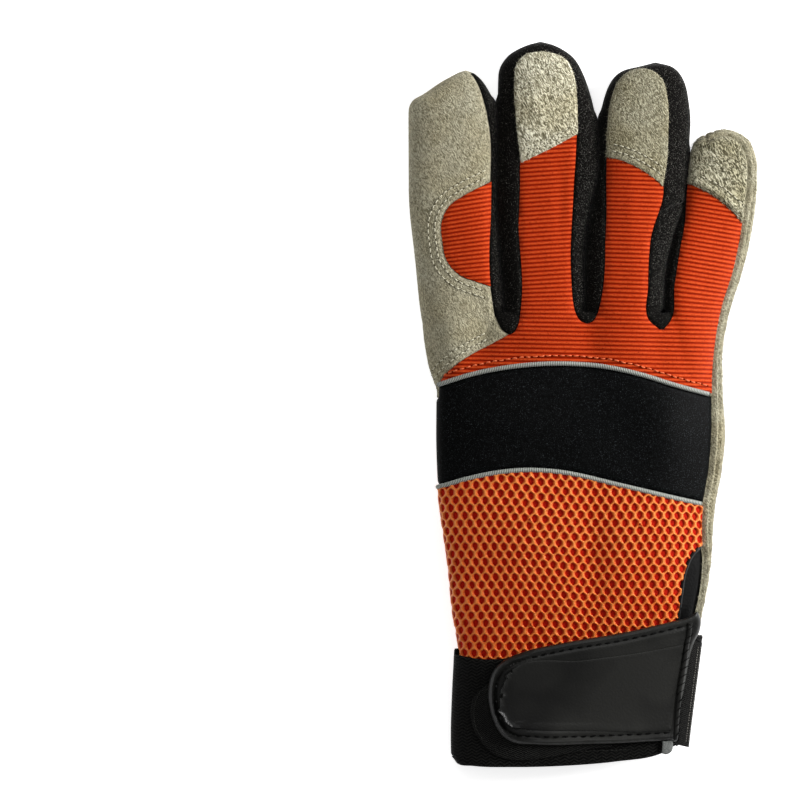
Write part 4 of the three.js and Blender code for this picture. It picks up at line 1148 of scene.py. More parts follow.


# Whipped cord: a mesh attribute paints the turns light and the grooves dark, as painted highlight
# and shade
def whippedCord(name):
    material = newMaterial(name)
    turn = addNode(material, "Attribute", attribute_name="turn").outputs["Fac"]
    # Painted shade in the grooves and painted highlight on the turns
    tone = addNode(material, "ValToRGB", {"Fac": turn}, [
        (0.1, "#3c3f39"), (0.5, "#7b7e77"), (0.9, "#bcbfb8"),
    ])
    return finishMaterial(material, {
        "Base Color": tone, "Roughness": 0.5, "Specular IOR Level": 0.35,
    })


# Polyurethane-coated synthetic leather: satin, with a fine pebble grain about 0.7 mm across and
# slow clouds of a lighter tone, which are a painted sheen
def coatedLeather(name, dark, light, roughness, gloss, grainSize=0.7, sheenCloudSize=6):
    material = newMaterial(name)
    cells = addNode(material, "TexVoronoi", {
        "Vector": coordinates(material, (grainSize,) * 3),
    }, feature="SMOOTH_F1")
    cloud = addNode(material, "TexNoise", {
        "Vector": coordinates(material, (sheenCloudSize,) * 3), "Detail": 3.0,
    })
    # The lighter clouds are a painted sheen
    tone = addNode(material, "ValToRGB", {"Fac": cloud}, [(0.38, dark), (0.66, light)])
    bump = addNode(material, "Bump", {"Strength": 0.6, "Distance": 0.00012, "Height": cells})
    return finishMaterial(material, {
        "Base Color": tone, "Roughness": roughness, "Specular IOR Level": gloss, "Normal": bump,
    })


suede = splitSuede("splitCowhideSuede", ("#6f6a54", "#95907a", "#bab59d"), "#f0ece2", (0.42, 1.1))
# The middle cap's suede is lighter than the palm's: partly its own tone, partly painted light on
# the lit cap
paintedLitCapTones, ringTones = ("#605b46", "#9f9a82", "#ebe7d0"), ("#5a5540", "#827d67", "#b6b299")
paintedLitCapSuede = splitSuede("brushedCowhideSuedePaintedLit", paintedLitCapTones, "#e8e4d8", (0.5, 1.2))
ringSuede = splitSuede("flatCowhideSuede", ringTones, "#e8e4d8", (0.42, 1.0))
looseSuede = splitSuede("looseCowhideSuede", ("#3d3927", "#78745e", "#cdc9b1"), "#e0dccd")
paleSuede = splitSuede("paleSplitCowhide", ("#8f918d", "#b4b6b2", "#dcdedb"), "#e8e8e6")
rib = ribKnit("polyesterCrossRib")
netYarn = spacerMesh("polyesterSpacerMesh")
redBacking = cloth("redKnitBacking", ("#8c0b02", "#b81a06"), 0.5, 0.8)
jerseyTones = ("#020201", "#0a0907", "#4a4844")  # the last is its pale lint
jersey = cloth("brushedStretchJersey", jerseyTones, 0.4, 0.8, 0.06, 0.05, 0.0003)
neopreneTones = ("#000000", "#040505", "#383c3e")
neoprene = cloth("laminatedNeoprene", neopreneTones, 0.35, 0.5, 0.01, 0.04, 0.0001)
webbing = wovenElastic("wovenElasticWebbing", "#000000", "#1b1b19")
tape = wovenElastic("wovenPolyesterTape", "#010101", "#282826", 0.7, 0.9)
vinyl = coatedLeather("coatedSyntheticLeather", "#080808", "#242422", 0.36, 0.2, sheenCloudSize=34)
liningLeather = coatedLeather("foldedLiningLeather", "#030303", "#0b0b0b", 0.3, 0.3)
gripLeather = coatedLeather("embossedSyntheticLeather", "#0b0b0b", "#141414", 0.45, 0.15, 0.5)
cord = whippedCord("whippedPolyesterCord")
# Grey of the strap's end stub: a painted highlight
strapEndHighlight = cloth("paintedHighlightStrapEnd", ("#4a4c4a", "#6c6e6c"), 0.4, 0.9)
# Polyester sewing thread, a twist of 0.2 mm, and painted shade in the holes that the needle leaves
blackThread = cloth("blackPolyesterThread", ("#010101", "#060606"), 0.2, 0.6, 0.0, 0.05)
suedeThread = cloth("greyPolyesterThread", ("#aaa58d", "#d6d1b9"), 0.2, 0.5, 0.02, 0.3)
whiteThread = cloth("whitePolyesterThread", ("#b9bab8", "#efefec"), 0.2, 0.5, 0.02, 0.3)
greyThread = cloth("darkGreyPolyesterThread", ("#161615", "#343431"), 0.2, 0.5, 0.0, 0.1)
orangeThread = cloth("orangePolyesterThread", ("#c8481e", "#ee7a4c"), 0.2, 0.5, 0.02, 0.2)
needlePit = cloth("shadedNeedleHole", ("#3a3628", "#5a5544"), 0.2, 0.9, 0.0, 0.0)
redPit = cloth("shadedRibNeedleHole", ("#4a0a02", "#6a1204"), 0.2, 0.9, 0.0, 0.0)
lint = cloth("greyCottonLint", ("#4a4844", "#85827b"), 0.3, 0.9)
print("materials made")

addPiece("palmLeather", leather, suede, ("palm_leather", "index_leather"))
for i, mesh in enumerate(sideWalls):
    addPiece(f"sideWall{i + 1}", mesh, jersey, (f"side_wall_{i + 1}",))
capNames, capFinishes = ("Middle", "Ring", "Little"), (paintedLitCapSuede, ringSuede, looseSuede)
for name, mesh, finish in zip(capNames, caps, capFinishes):
    addPiece("tipCap" + name, mesh, finish, ("cap_" + name.lower(),))
addPiece("knuckleBand", band, neoprene, ("knuckle_band",))

# Cross-rib knit on the back of the hand and the index finger
ribCloth = {
    "pitch": 1.5,
    "height": 0.34,
    "column": 1.1,  # mesh spacing along a rib
    "wall": 0.9,
    "edge": 1.6,  # width of the turned-down edge
    "sink": 0.7,
    "underCap": 2.5,  # how far the cloth runs under a fingertip cap
    "phases": (0.0, 0.17, 0.38, 0.62, 0.83),  # mesh rows across a rib
    "uneven": 0.12,
}


# How far the ribs fall across the back: level on the hand, rising to the right on the middle
# finger and falling on the little finger, square to each finger's own direction
def handRibFall(x, v):
    onFinger = np.clip((v - 26) / 20, 0, 1)
    onFinger = onFinger * onFinger * (3 - 2 * onFinger)
    along = np.interp(x, [-24, -2, 3, 28, 31, 56], [0.7, -0.8, -0.3, 0.5, -0.9, 3.0])
    return along * onFinger + 0.02 * x * (1 - onFinger)


# The index finger's ribs fall to the left, more so up the finger
def indexRibFall(x, v):
    return -(0.05 + 0.11 * np.clip((v - 35) / 30, 0, 1)) * (x + 30)


# Height across a rib, from 0 in the groove to 1 on the crest: round, with narrow grooves
def ribRidge(place):
    return (0.5 - 0.5 * np.cos(2 * math.pi * place)) ** 0.55


# Ribbed cloth over the skin between two plan corners, cut to a space and sunk along its seams
def ribSheet(low, high, fall, space, seams):
    rows = [k + phase for k in range(int((high[1] - low[1]) / ribCloth["pitch"]))
            for phase in ribCloth["phases"]]
    across = np.arange(low[0], high[0], ribCloth["column"])
    x, v = np.meshgrid(across, low[1] + np.array(rows) * ribCloth["pitch"])
    y = v - fall(x, v)
    spots, _ = onSkin(skinTree, np.stack([x.ravel(), y.ravel()], axis=1))
    place = (v - low[1]) / ribCloth["pitch"]
    wave = ribCloth["uneven"] * np.sin(1.7 * x + 2.1 * np.floor(place))
    uneven = 1 + wave * np.sin(0.6 * x - 1.3 * place)
    top = spots[:, 2].reshape(x.shape) + ribCloth["height"] * (ribRidge(place) * uneven - 0.45)
    away = awayFrom(seams, x, y).reshape(x.shape)
    edge = np.clip(1 - away / ribCloth["edge"], 0, 1)
    top -= ribCloth["sink"] * edge**2
    mesh = largest(shared(slab(x, y, top - ribCloth["wall"], top), space))
    points = toPattern(mesh)
    v = points[:, 1]
    for _ in range(5):  # finds each point's own rib again after the cut
        v = points[:, 1] + fall(points[:, 0], v)
    # Painted shade for the grooves, from the rib's height
    setShade(mesh, "ridgeShade", ribRidge((v - low[1]) / ribCloth["pitch"]))
    return mesh


knitSpace = cut(
    prism(knitPlan), room(wrapPlan), room(rollPlan), *[room(plan) for plan in sideWallPlans],
    *[prism(grownPlan(plan, -ribCloth["underCap"])) for plan in capPlans],
    prism([(31, 78.5), (far, 78.5), (far, reach), (31, reach)]),  # above the little cap's edge
)
backRibs = ribSheet(
    (-54, -2), (58, 96), handRibFall, knitSpace, [*leftSeams, *rightSeams, roll, hem, upperLine]
)
addPiece("backRibs", backRibs, rib, ("back_rib",), 60)
ovalSpace = cut(prism(ovalPlan), room(sideWallPlans[0]))
indexRibs = ribSheet((-54, 36), (-28, 84), indexRibFall, ovalSpace, [ovalPlan, leftSeams[0]])
addPiece("indexRibs", indexRibs, rib, ("index_back",), 60)
print("ribs", len(backRibs.polygons), len(indexRibs.polygons))

# The hand's skin unrolled: reach is the way round from the middle of the back, to the right
unrolledY = np.arange(-104.0, 32.0, 1.0)
unrolledReach = np.arange(-92.0, 60.5, 0.5)


def unrolled():
    table = np.array(openHandRows, float)
    angles = np.linspace(0, 2 * math.pi, 721)
    layers = []
    for y in unrolledY:
        row = [float(smoothAlong(table[:, 0], table[:, i], y)) for i in range(4)]
        x, _, z = section(row, angles, drape, 0, True).T
        travelled = summed(np.hypot(np.diff(x), np.diff(z)))
        top = np.argmax(x[:361] < 0)
        start = np.interp(0, [x[top], x[top - 1]], [travelled[top], travelled[top - 1]])
        steps = travelled + np.arange(721) * 1e-6
        dx, dz = np.gradient(x, steps), np.gradient(z, steps)
        length = np.maximum(np.hypot(dx, dz), 1e-9)
        layers.append([
            np.interp(start - unrolledReach, travelled, part)
            for part in (x, z, dz / length, -dx / length)
        ])
    return np.array(layers)


unrolledHand = unrolled()


# A place on the hand, and its outward normal, from its reach and its Y
def aroundHand(reachAt, y):
    v = np.clip((np.asarray(y, float) - unrolledY[0]) / 1.0, 0, len(unrolledY) - 1.001)
    u = (np.asarray(reachAt, float) - unrolledReach[0]) / 0.5
    u = np.clip(u, 0, len(unrolledReach) - 1.001)
    j, i = v.astype(int), u.astype(int)
    t, s = v - j, u - i
    t, s = t[:, None], s[:, None]
    lower = unrolledHand[j, :, i] * (1 - s) + unrolledHand[j, :, i + 1] * s
    upper = unrolledHand[j + 1, :, i] * (1 - s) + unrolledHand[j + 1, :, i + 1] * s
    x, z, nx, nz = (lower * (1 - t) + upper * t).T
    normal = np.stack([nx, np.zeros(len(x)), nz], axis=1)
    return np.stack([x, y, z], axis=1), normal / np.linalg.norm(normal, axis=1)[:, None]


# Spacer mesh on the back of the hand: a net of six-sided cells over a red base
net = {
    "across": 3.4,  # between holes
    "along": 2.6,  # between staggered rows
    "hole": (0.92, 1.28),  # half its width and height
    "taper": 0.45,  # how much narrower its lower end is
    "ragged": 0.07,
    "crest": 0.62,
    "lip": 0.2,  # height of the strand at the hole's rim
    "drop": 0.3,  # how far the strands' feet reach below the skin
    "fall": 0.04,
    "base": 0.2,  # depth of the red base
}


def netSheet(space):
    a, b = net["across"], net["along"]
    peak, shoulder = b / 2 + a * a / (8 * b), b / 2 - a * a / (8 * b)
    corners = [(0, peak), (-a / 2, shoulder), (-a / 2, -shoulder), (0, -peak), (a / 2, -shoulder),
               (a / 2, shoulder)]
    rim = []
    for k, corner in enumerate(corners):
        after = corners[(k + 1) % 6]
        rim += [corner, ((corner[0] + after[0]) / 2, (corner[1] + after[1]) / 2)]
    rim = np.array(rim)
    angles = np.arctan2(rim[:, 1], rim[:, 0])
    dice = np.random.default_rng(7)
    points, faces, shelf = [], [], {}

    def place(x, y, lift):
        points.append((x, y, lift))
        return len(points) - 1

    def rimPoint(x, y, lift):
        key = (round(x * 50), round(y * 50), lift)
        if key not in shelf:
            shelf[key] = place(x, y, lift)
        return shelf[key]

    rimEdges = {}
    for row in range(-1, 34):
        for column in range(-26, 17):
            cx, cy = (column + 0.5 * (row % 2)) * a, -97 + row * b
            ragged = 1 + dice.normal(0, net["ragged"], 12)
            lower = np.clip(-np.sin(angles), 0, 1)
            hx = net["hole"][0] * np.cos(angles) * (1 - net["taper"] * lower**2) * ragged
            hy = net["hole"][1] * np.sin(angles) * (1 + 0.08 * lower) * ragged
            top = [rimPoint(cx + x, cy + y, net["crest"]) for x, y in rim]
            foot = [rimPoint(cx + x, cy + y, -net["drop"]) for x, y in rim]
            mid = [place(cx + x * 0.45 + p * 0.55, cy + y * 0.45 + q * 0.55, net["crest"] * 0.86)
                   for x, y, p, q in zip(hx, hy, rim[:, 0], rim[:, 1])]
            lip = [place(cx + x, cy + y, net["lip"]) for x, y in zip(hx, hy)]
            well = [place(cx + x * 0.97, cy + y * 0.97, -net["drop"]) for x, y in zip(hx, hy)]
            for k in range(12):
                n = (k + 1) % 12
                for outer, inner in ((top, mid), (mid, lip), (lip, well), (well, foot)):
                    faces.append((outer[k], outer[n], inner[n], inner[k]))
                if (top[n], top[k]) in rimEdges:
                    del rimEdges[(top[n], top[k])]
                else:
                    rimEdges[(top[k], top[n])] = (foot[k], foot[n])
    for (k, n), (footK, footN) in rimEdges.items():
        faces.append((n, k, footK, footN))
    flat = np.array(points)  # then the cloth's slow waves
    x = flat[:, 0] + 0.45 * np.sin(flat[:, 1] / 7.4 + flat[:, 0] / 19)
    y = flat[:, 1] - net["fall"] * flat[:, 0] + 0.5 * np.sin(flat[:, 0] / 9.6 + flat[:, 1] / 23)
    spots, normals = aroundHand(x, y)

    def faceOutward(form):
        if form.calc_volume(signed=True) < 0:
            bmesh.ops.reverse_faces(form, faces=form.faces)

    mesh = reworked(meshOf("net", spots + normals * flat[:, 2:], faces), faceOutward)
    result = largest(shared(mesh, space))
    # Height over the skin, for the strands' painted shade and highlight
    liftShades = []
    for point in toPattern(result):
        spot, normal, _, _ = skinTree.find_nearest(Vector(point))
        liftShades.append((Vector(point) - spot).dot(normal))
    setShade(result, "lift", np.clip(np.array(liftShades) / net["crest"], 0, 1))
    return result


slitPlan = curveThrough(slitOutline, closed=True)
meshSpace = cut(shared(wristSpace, prism(meshPlan)), room(slitPlan))
netMesh = netSheet(meshSpace)
addPiece("meshNet", netMesh, netYarn, ("mesh_back",), 50)
sunkHand = tube(openHandRows, 1.8, pattern["handRatio"], grow=-net["base"])
sunkShell = cut(sunkHand, hollow)
addPiece("meshBase", largest(shared(sunkShell, meshSpace)), redBacking)
print("net", len(netMesh.polygons))


# The way along a plan line over the back and round the index side, as places and normals
def lineRoundHand(line, start, end, step=0.25):
    reachAt = np.arange(start, end, -step)
    y = np.full(len(reachAt), float(line[:, 1].mean()))
    for _ in range(4):
        spots, normals = aroundHand(reachAt, y)
        y = np.interp(spots[:, 0], line[:, 0], line[:, 1])
    return aroundHand(reachAt, y)


# A cord along places with normals; its radius varies along it to make the coil's turns
def cordMesh(spots, normals, radius, lift, sides=10, turns=0.0, skew=0.5):
    way = np.gradient(spots, axis=0)
    way /= np.linalg.norm(way, axis=1)[:, None]
    sideways = np.cross(way, normals)
    sideways /= np.linalg.norm(sideways, axis=1)[:, None]
    up = np.cross(sideways, way)
    travelled = summed(np.linalg.norm(np.diff(spots, axis=0), axis=1))
    rings, waves = [], []
    for k in range(sides):
        angle = 2 * math.pi * k / sides
        wave = np.ones(len(spots))
        if turns:
            wave = 0.5 + 0.5 * np.cos(2 * math.pi * travelled / turns + skew * math.sin(angle))
        out = math.cos(angle) * sideways + math.sin(angle) * up
        rings.append(spots + normals * lift + out * (radius * (0.84 + 0.16 * wave))[:, None])
        waves.append(wave)
    count = len(spots)
    faces = ringFaces(count, sides)
    faces.append(tuple(range(sides)))
    faces.append(tuple((count - 1) * sides + k for k in reversed(range(sides))))
    mesh = meshOf("cord", np.stack(rings, axis=1).reshape(-1, 3), faces)
    # The turns' painted shade and highlight for the cord's material
    setShade(mesh, "turn", np.stack(waves, axis=1).ravel())
    return mesh


# Corded piping over both seams of the knuckle band
piping = {"radius": 0.84, "lift": 0.12, "turn": 0.6}
for name, node, line, ends in (
    ("pipingUpper", "piping_upper", upperLine, (44.5, -51.5)),
    ("pipingLower", "piping_lower", lowerLine, (41.5, -60)),
):
    spots, normals = lineRoundHand(line, *ends, step=0.12)
    mesh = cordMesh(spots, normals, piping["radius"], piping["lift"], 12, piping["turn"])
    addPiece(name, mesh, cord, (node,), 60)
print("piping made")

# The slit at the wrist: a sunk black lining and a bound edge
slit = {"drop": 2.0, "wall": 1.0, "binding": 0.75, "lift": -0.2}
liningOuter = tube(openHandRows, 2.0, pattern["handRatio"], grow=-slit["drop"])
liningInner = tube(
    openedRows(handRows, pattern["openEnd"] - 4), 2.4, pattern["handRatio"],
    grow=-slit["drop"] - slit["wall"],
)
lining = largest(shared(cut(liningOuter, liningInner), above, prism(gussetOutline)))
addPiece("slitLining", lining, liningLeather, ("slit_gusset",))
edgeLine = curveThrough(slitOutline[1:7], 0.3)
edgeSpots, edgeNormals = onSkin(skinTree, edgeLine)
binding = cordMesh(edgeSpots, edgeNormals, slit["binding"], slit["lift"], 8)
addPiece("slitBinding", binding, liningLeather)

# Cuff of woven elastic
hemLine, cuffTop = curveThrough(cuffHem), curveThrough(cuffEdgeBack)
cuffSkin = tube(cuffRows[:5], 1.2, pattern["cuffRatio"])
cuffHollow = tube(
    [*openedRows(cuffRows[:5], -140), (-70, *cuffRows[4][1:])], 3.0, pattern["cuffRatio"],
    grow=-pattern["cuffWall"], relief=False,
)
cuffSpace = wrapping(
    cut(prism(between(hemLine, cuffTop)), prism(cuffSlit)),
    prism(between(hemLine, np.array(cuffEdgePalm))),
)
cuffShell = largest(shared(cut(cuffSkin, cuffHollow), cuffSpace))
rollBorder(cuffShell, treeOf(cuffSkin), 1.2, 0.6)
addPiece("cuffElastic", cuffShell, webbing, ("cuff",))
print("cuff", len(cuffShell.polygons))

closureTable = np.array(cuffRows, float)


# Height of the closure's layers above the cuff's surface
def closureHeight(x, y, lift):
    left, right, half = (smoothAlong(closureTable[:, 0], closureTable[:, i], y) for i in (1, 2, 3))
    off = np.clip(abs(x - (left + right) / 2) / ((right - left) / 2 + lift), 0, 0.995)
    power = pattern["squareness"]
    return drape(x, y) + (half + lift) * (1 - off**power) ** (1 / power)


# A flat piece on the closure: its plan, its underside's lift and its thickness by the way in from
# its edge
def closurePiece(plan, low, thickness, step=1.0, rim=1.0, relief=None):
    edges = [grownPlan(plan, -inset) for inset in (0.0, 0.35 * rim, rim)]
    x, y = np.meshgrid(np.arange(-60, 60, step), np.arange(-125, -60, step * 0.87))
    x[1::2] += step / 2
    inside = isInside(grownPlan(plan, -rim - 0.5 * step), x, y)
    spots = np.vstack([*edges, np.stack([x[inside], y[inside]], axis=1)])
    count = len(plan)
    ring = [list(range(count))]
    flat, _, triangles, *_ = delaunay_2d_cdt([Vector(p) for p in spots], [], ring, 1, 1e-5)
    flat = np.array(flat)
    away = awayFrom([edges[0]], flat[:, 0], flat[:, 1])
    shape = np.sqrt(np.clip(1 - (1 - np.clip(away / rim, 0, 1)) ** 2, 0, 1))
    high = low + thickness * (0.35 + 0.65 * shape)
    if relief:
        high = high + relief(flat[:, 0], flat[:, 1], away)
    under = low + thickness * 0.2 * (1 - shape)
    top = closureHeight(flat[:, 0], flat[:, 1], high)
    bottom = closureHeight(flat[:, 0], flat[:, 1], under)
    size = len(flat)
    points = np.vstack([np.column_stack([flat, top]), np.column_stack([flat, bottom])])
    faces, rimEdges = [], {}
    for tri in triangles:
        (ax, ay), (bx, by), (cx, cy) = flat[list(tri)]
        if (bx - ax) * (cy - ay) - (by - ay) * (cx - ax) < 0:
            tri = tri[::-1]
        faces += [tuple(tri), tuple(i + size for i in tri[::-1])]
        for k in range(3):
            rimEdges[(tri[k], tri[(k + 1) % 3])] = True
    for a, b in list(rimEdges):
        if (b, a) not in rimEdges:
            faces.append((b, a, a + size, b + size))
    return meshOf("closure", points, faces)


# Heights of the undersides above the cuff, and thicknesses
closure = {
    "tapeLift": 0.1, "tape": 0.7, "strapLift": 1.0, "strap": 1.9, "facingLift": 2.6,
    "facing": 0.75, "endStubLift": 0.9, "endStub": 1.1,
}
strapPlan, facingPlan, loopPlan, tabPlan = (
    curveThrough(outline, 0.8, True, 60)
    for outline in (strapOutline, facingOutline, loopOutline, tabOutline)
)


# The strap's rim: a thick roll round its free end, a stitched channel inside it, and shallow waves
def strapRelief(x, y, away):
    freeEnd = np.clip((-16 - x) / 7, 0, 1)
    rolled = hill(away, 1.2, 0.8, 0.3 + 0.6 * freeEnd)
    channel = hill(away, 2.7, 0.5, -(0.35 + 0.5 * freeEnd))
    inner = hill(away, 4.1, 0.7, 0.25 * (1 - freeEnd))
    waves = 0.2 * np.sin(x / 3.1 + y / 4.3) * np.exp(-away / 5)
    return rolled + channel + inner + waves


# The facing's curled left edge, a raised line along its lower side, and slow waves
def facingRelief(x, y, away):
    curl = hill(away, 0.4, 0.6, 0.9 * np.clip((-21 - x) / 4, 0, 1))
    lines = hill(away, 1.9, 0.3, 0.18) * np.clip((y + 105) / -3, 0, 1)
    edge = hill(away, 0.7, 0.5, 0.12)
    return curl + lines + edge + 0.2 * np.sin(x / 7.6) * np.sin(y / 9.3)


# The facing is cut by hand: its left edge is ragged
ragged = np.random.default_rng(3).normal(0, 0.36, len(facingPlan))
facingPlan[:, 0] += ragged * np.clip((-22 - facingPlan[:, 0]) / 3, 0, 1)

loop = closurePiece(loopPlan, closure["tapeLift"], closure["tape"], 1.6, 0.5)
addPiece("loopPatch", loop, tape, ("loop_patch",))
tab = closurePiece(tabPlan, closure["tapeLift"], closure["tape"], 1.4, 0.5)
addPiece("wovenTab", tab, tape, ("hook_tab",))
strap = closurePiece(strapPlan, closure["strapLift"], closure["strap"], 0.62, 1.3, strapRelief)
addPiece("closureStrap", strap, vinyl, ("strap",))
facing = closurePiece(facingPlan, closure["facingLift"], closure["facing"], 0.8, 0.5, facingRelief)
addPiece("strapFacing", facing, vinyl, ("strap_facing",))

# A small grey stub at the strap's lower right end: its grey is a painted highlight on the rolled
# end
endStubOutline = [(27.4, -116.0), (31.2, -115.6), (30.4, -119.8), (28.6, -120.6), (27.2, -120.2)]
endStubPlan = curveThrough(endStubOutline, 0.5, True, 60)
endStub = closurePiece(endStubPlan, closure["endStubLift"], closure["endStub"], 0.7, 0.5)
addPiece("strapCore", endStub, strapEndHighlight)
print("closure", len(strap.polygons), len(facing.polygons))

# The folded thumb
thumbAbove = halfSpace(thumbMiddle, True)
thumbBelow = halfSpace(lambda x, y: thumbMiddle(x, y) + pattern["lap"], False)
knitEdge, leatherEdge = curveThrough(thumbKnitEdge), curveThrough(thumbLeatherEdge)
knitFloorPlan = np.vstack([
    [(far, reach)], knitEdge, [(-far, knitEdge[-1][1]), (-far, belowHand), (far, belowHand)],
])
leatherPlan = np.vstack([
    [(leatherEdge[0][0], reach)], leatherEdge,
    [(-far, leatherEdge[-1][1]), (-far, reach)],
])
innerLeft = [(row[1] + (3 if row[0] < -20 else -5), row[0]) for row in thumbRows[1:]]
innerRight = [(row[2] - 3, row[0]) for row in thumbRows[1:]]
innerPlan = between(np.array(innerRight), np.array(innerLeft))
rightSide = [(0, belowHand), (far, belowHand), (far, reach), (0, reach)]
thumbTree = treeOf(thumbSkin)


def thumbPanel(top, bottom):
    space = joined(shared(thumbAbove, top), shared(thumbBelow, bottom))
    return rollBorder(largest(shared(thumbShell, space)), thumbTree, 1.3, 0.6)


thumbPalm = thumbPanel(prism(innerPlan), prism(leatherPlan))
knitTop = cut(joined(prism(knitFloorPlan), prism(rightSide)), room(innerPlan))
thumbBack = thumbPanel(knitTop, prism(knitFloorPlan))
saddleSpace = cut(thumbBelow, room(leatherPlan), room(knitFloorPlan))
thumbSaddle = rollBorder(largest(shared(thumbShell, saddleSpace)), thumbTree, 1.3, 0.6)


# The thumb's ribs cross it a little aslant, with grooves pressed in between them
thumbRib = {"slope": 0.08, "width": 0.74, "depth": 0.36}
thumbStops = [row[0] for row in thumbRows]
across = np.arange(-42.0, 36.0, 0.5)
pitch = ribCloth["pitch"]
grooves = []
for k in range(int(thumbStops[0] / pitch), int(thumbStops[-1] / pitch) + 2):
    along = k * pitch - thumbRib["slope"] * across
    left, right = (smoothAlong(thumbStops, [row[i] for row in thumbRows], along) for i in (1, 2))
    onThumb = (across > left + 0.6) & (across < right - 0.6)
    onThumb &= isInside(knitFloorPlan, across, along)
    grooves.append(onSkin(thumbTree, np.stack([across, along], axis=1)[onThumb], False)[0])


def grooved(distance, place, off):
    return -thumbRib["depth"] * math.cos(math.pi / 2 * distance / thumbRib["width"]) ** 2


# The first pass only splits long edges, and the second presses the grooves in
emboss(thumbBack, thumbTree, grooves, thumbRib["width"], lambda *_: 0, 0.6)
emboss(thumbBack, thumbTree, grooves, thumbRib["width"], grooved, 0.4)
points = toPattern(thumbBack)
slanted = points[:, 1] + thumbRib["slope"] * points[:, 0]
# Painted shade for the grooves between the thumb's ribs
setShade(thumbBack, "ridgeShade", ribRidge(slanted / pitch))
addPiece("thumbPalmLeather", thumbPalm, suede, ("thumb_palm",))
addPiece("thumbBackKnit", thumbBack, rib, ("thumb_back",))
addPiece("thumbSaddle", thumbSaddle, paleSuede, ("thumb_saddle",))
print("thumb", len(thumbBack.polygons))

# Grip pads on the palm, embossed in squares
grip = {
    "pitch": 2.9,
    "depth": 0.95,
    "cell": 0.42,  # height of a square
    "border": 5.4,  # width of the flat stitched border
    "rim": 1.2,  # width of the rounded edge
    "crown": 0.25,
}


def gripPad(outline):
    plan = curveThrough(outline, 0.7, True)
    (x0, y0), (x1, y1) = plan.min(axis=0) - 1, plan.max(axis=0) + 1
    stops = (0.0, 0.14, 0.3, 0.7, 0.86)  # mesh lines across a square
    pitch = grip["pitch"]
    lineX = [x0 + (k + s) * pitch for k in range(int((x1 - x0) / pitch) + 1) for s in stops]
    lineY = [y0 + (k + s) * pitch for k in range(int((y1 - y0) / pitch) + 1) for s in stops]
    x, y = np.meshgrid(lineX, lineY)
    spots, _ = onSkin(skinTree, np.stack([x.ravel(), y.ravel()], axis=1), False)

    def cell(v, start):
        off = np.abs(((v - start) / pitch) % 1 - 0.5) * 2
        return np.clip((1 - off) / 0.3, 0, 1) ** 0.6

    away = awayFrom([plan], x, y).reshape(x.shape)
    inField = np.clip((away - grip["border"]) / 0.6, 0, 1)
    squares = cell(x, x0) * cell(y, y0)
    rounded = np.sqrt(np.clip(1 - (1 - np.clip(away / grip["rim"], 0, 1)) ** 2, 0, 1))
    depth = grip["depth"] * (0.35 + 0.65 * rounded) + grip["cell"] * squares * inField
    depth += grip["crown"] * np.clip(away / 8, 0, 1)
    skinLevel = spots[:, 2].reshape(x.shape)
    mesh = slab(x, y, skinLevel - depth, skinLevel + 0.2)
    return largest(cut(shared(mesh, prism(plan)), thumbRoom))


knucklePad, palmPad = gripPad(knucklePadOutline), gripPad(palmPadOutline)
for name, node, mesh in (
    ("knucklePad", "knuckle_pad", knucklePad), ("palmPad", "palm_pad", palmPad),
):
    piece = addPiece(name, mesh, gripLeather, (node,), 50)
print("pads", len(knucklePad.polygons), len(palmPad.polygons))


# Places along a plan line on a panel, close together: the places are the mean of 5, the normals
# of 9
def alongPanel(tree, line, fromAbove=True, step=0.3):
    travelled = summed(np.hypot(*np.diff(line, axis=0).T))
    at = np.arange(0, travelled[-1], step)
    plan = np.column_stack([np.interp(at, travelled, line[:, i]) for i in (0, 1)])
    spots, normals = onSkin(tree, plan, fromAbove)
    padded = np.pad(normals, ((4, 4), (0, 0)), mode="edge")
    normals = sum(padded[i:i + len(at)] for i in range(9))
    padded = np.pad(spots, ((2, 2), (0, 0)), mode="edge")
    spots = sum(padded[i:i + len(at)] for i in range(5)) / 5
    return spots, normals / np.linalg.norm(normals, axis=1)[:, None]


# One row of stitches: short threads that lie on the panel and dive in at both ends
def stitchRow(spots, normals, stitch, seed):
    travelled = summed(np.linalg.norm(np.diff(spots, axis=0), axis=1))
    count = int(travelled[-1] / stitch["pitch"])
    shape = np.array([  # along, up, thickness
        (-0.5, -1.6, 0.6), (-0.4, 0.0, 0.9), (-0.15, 0.7, 1.0),
        (0.15, 0.7, 1.0), (0.4, 0.0, 0.9), (0.5, -1.6, 0.6),
    ])
    dice = np.random.default_rng(seed)
    middles = (np.arange(count) + 0.5 + stitch.get("start", 0)) * stitch["pitch"]
    at = middles[:, None] + shape[:, 0] * stitch["length"] + dice.normal(0, 0.06, count)[:, None]
    place = np.stack([np.interp(at, travelled, spots[:, i]) for i in range(3)], axis=2)
    up = np.stack([np.interp(at, travelled, normals[:, i]) for i in range(3)], axis=2)
    way = np.gradient(place, axis=1)
    way /= np.maximum(np.linalg.norm(way, axis=2), 1e-6)[:, :, None]
    sideways = np.cross(way, up)
    slant = stitch.get("slant", 0) + dice.normal(0, 0.07, count)
    place = place + sideways * (slant[:, None] * shape[:, 0] * stitch["length"])[:, :, None]
    place = place + up * (stitch["lift"] + shape[:, 1] * stitch["radius"])[:, None]
    sides = 6
    rings = []
    for k in range(sides):
        angle = 2 * math.pi * k / sides
        out = math.cos(angle) * sideways + math.sin(angle) * up
        rings.append(place + out * (stitch["radius"] * shape[:, 2])[:, None])
    points = np.stack(rings, axis=2).reshape(-1, 3)
    one = ringFaces(len(shape), sides) + [(0, 1, 2, 3), (0, 3, 4, 5)]
    last = (len(shape) - 1) * sides
    one += [(last + 3, last + 2, last + 1, last), (last + 5, last + 4, last + 3, last)]
    size = len(shape) * sides
    faces = (np.array(one)[None] + (np.arange(count) * size)[:, None, None]).reshape(-1, 4)
    return points, faces


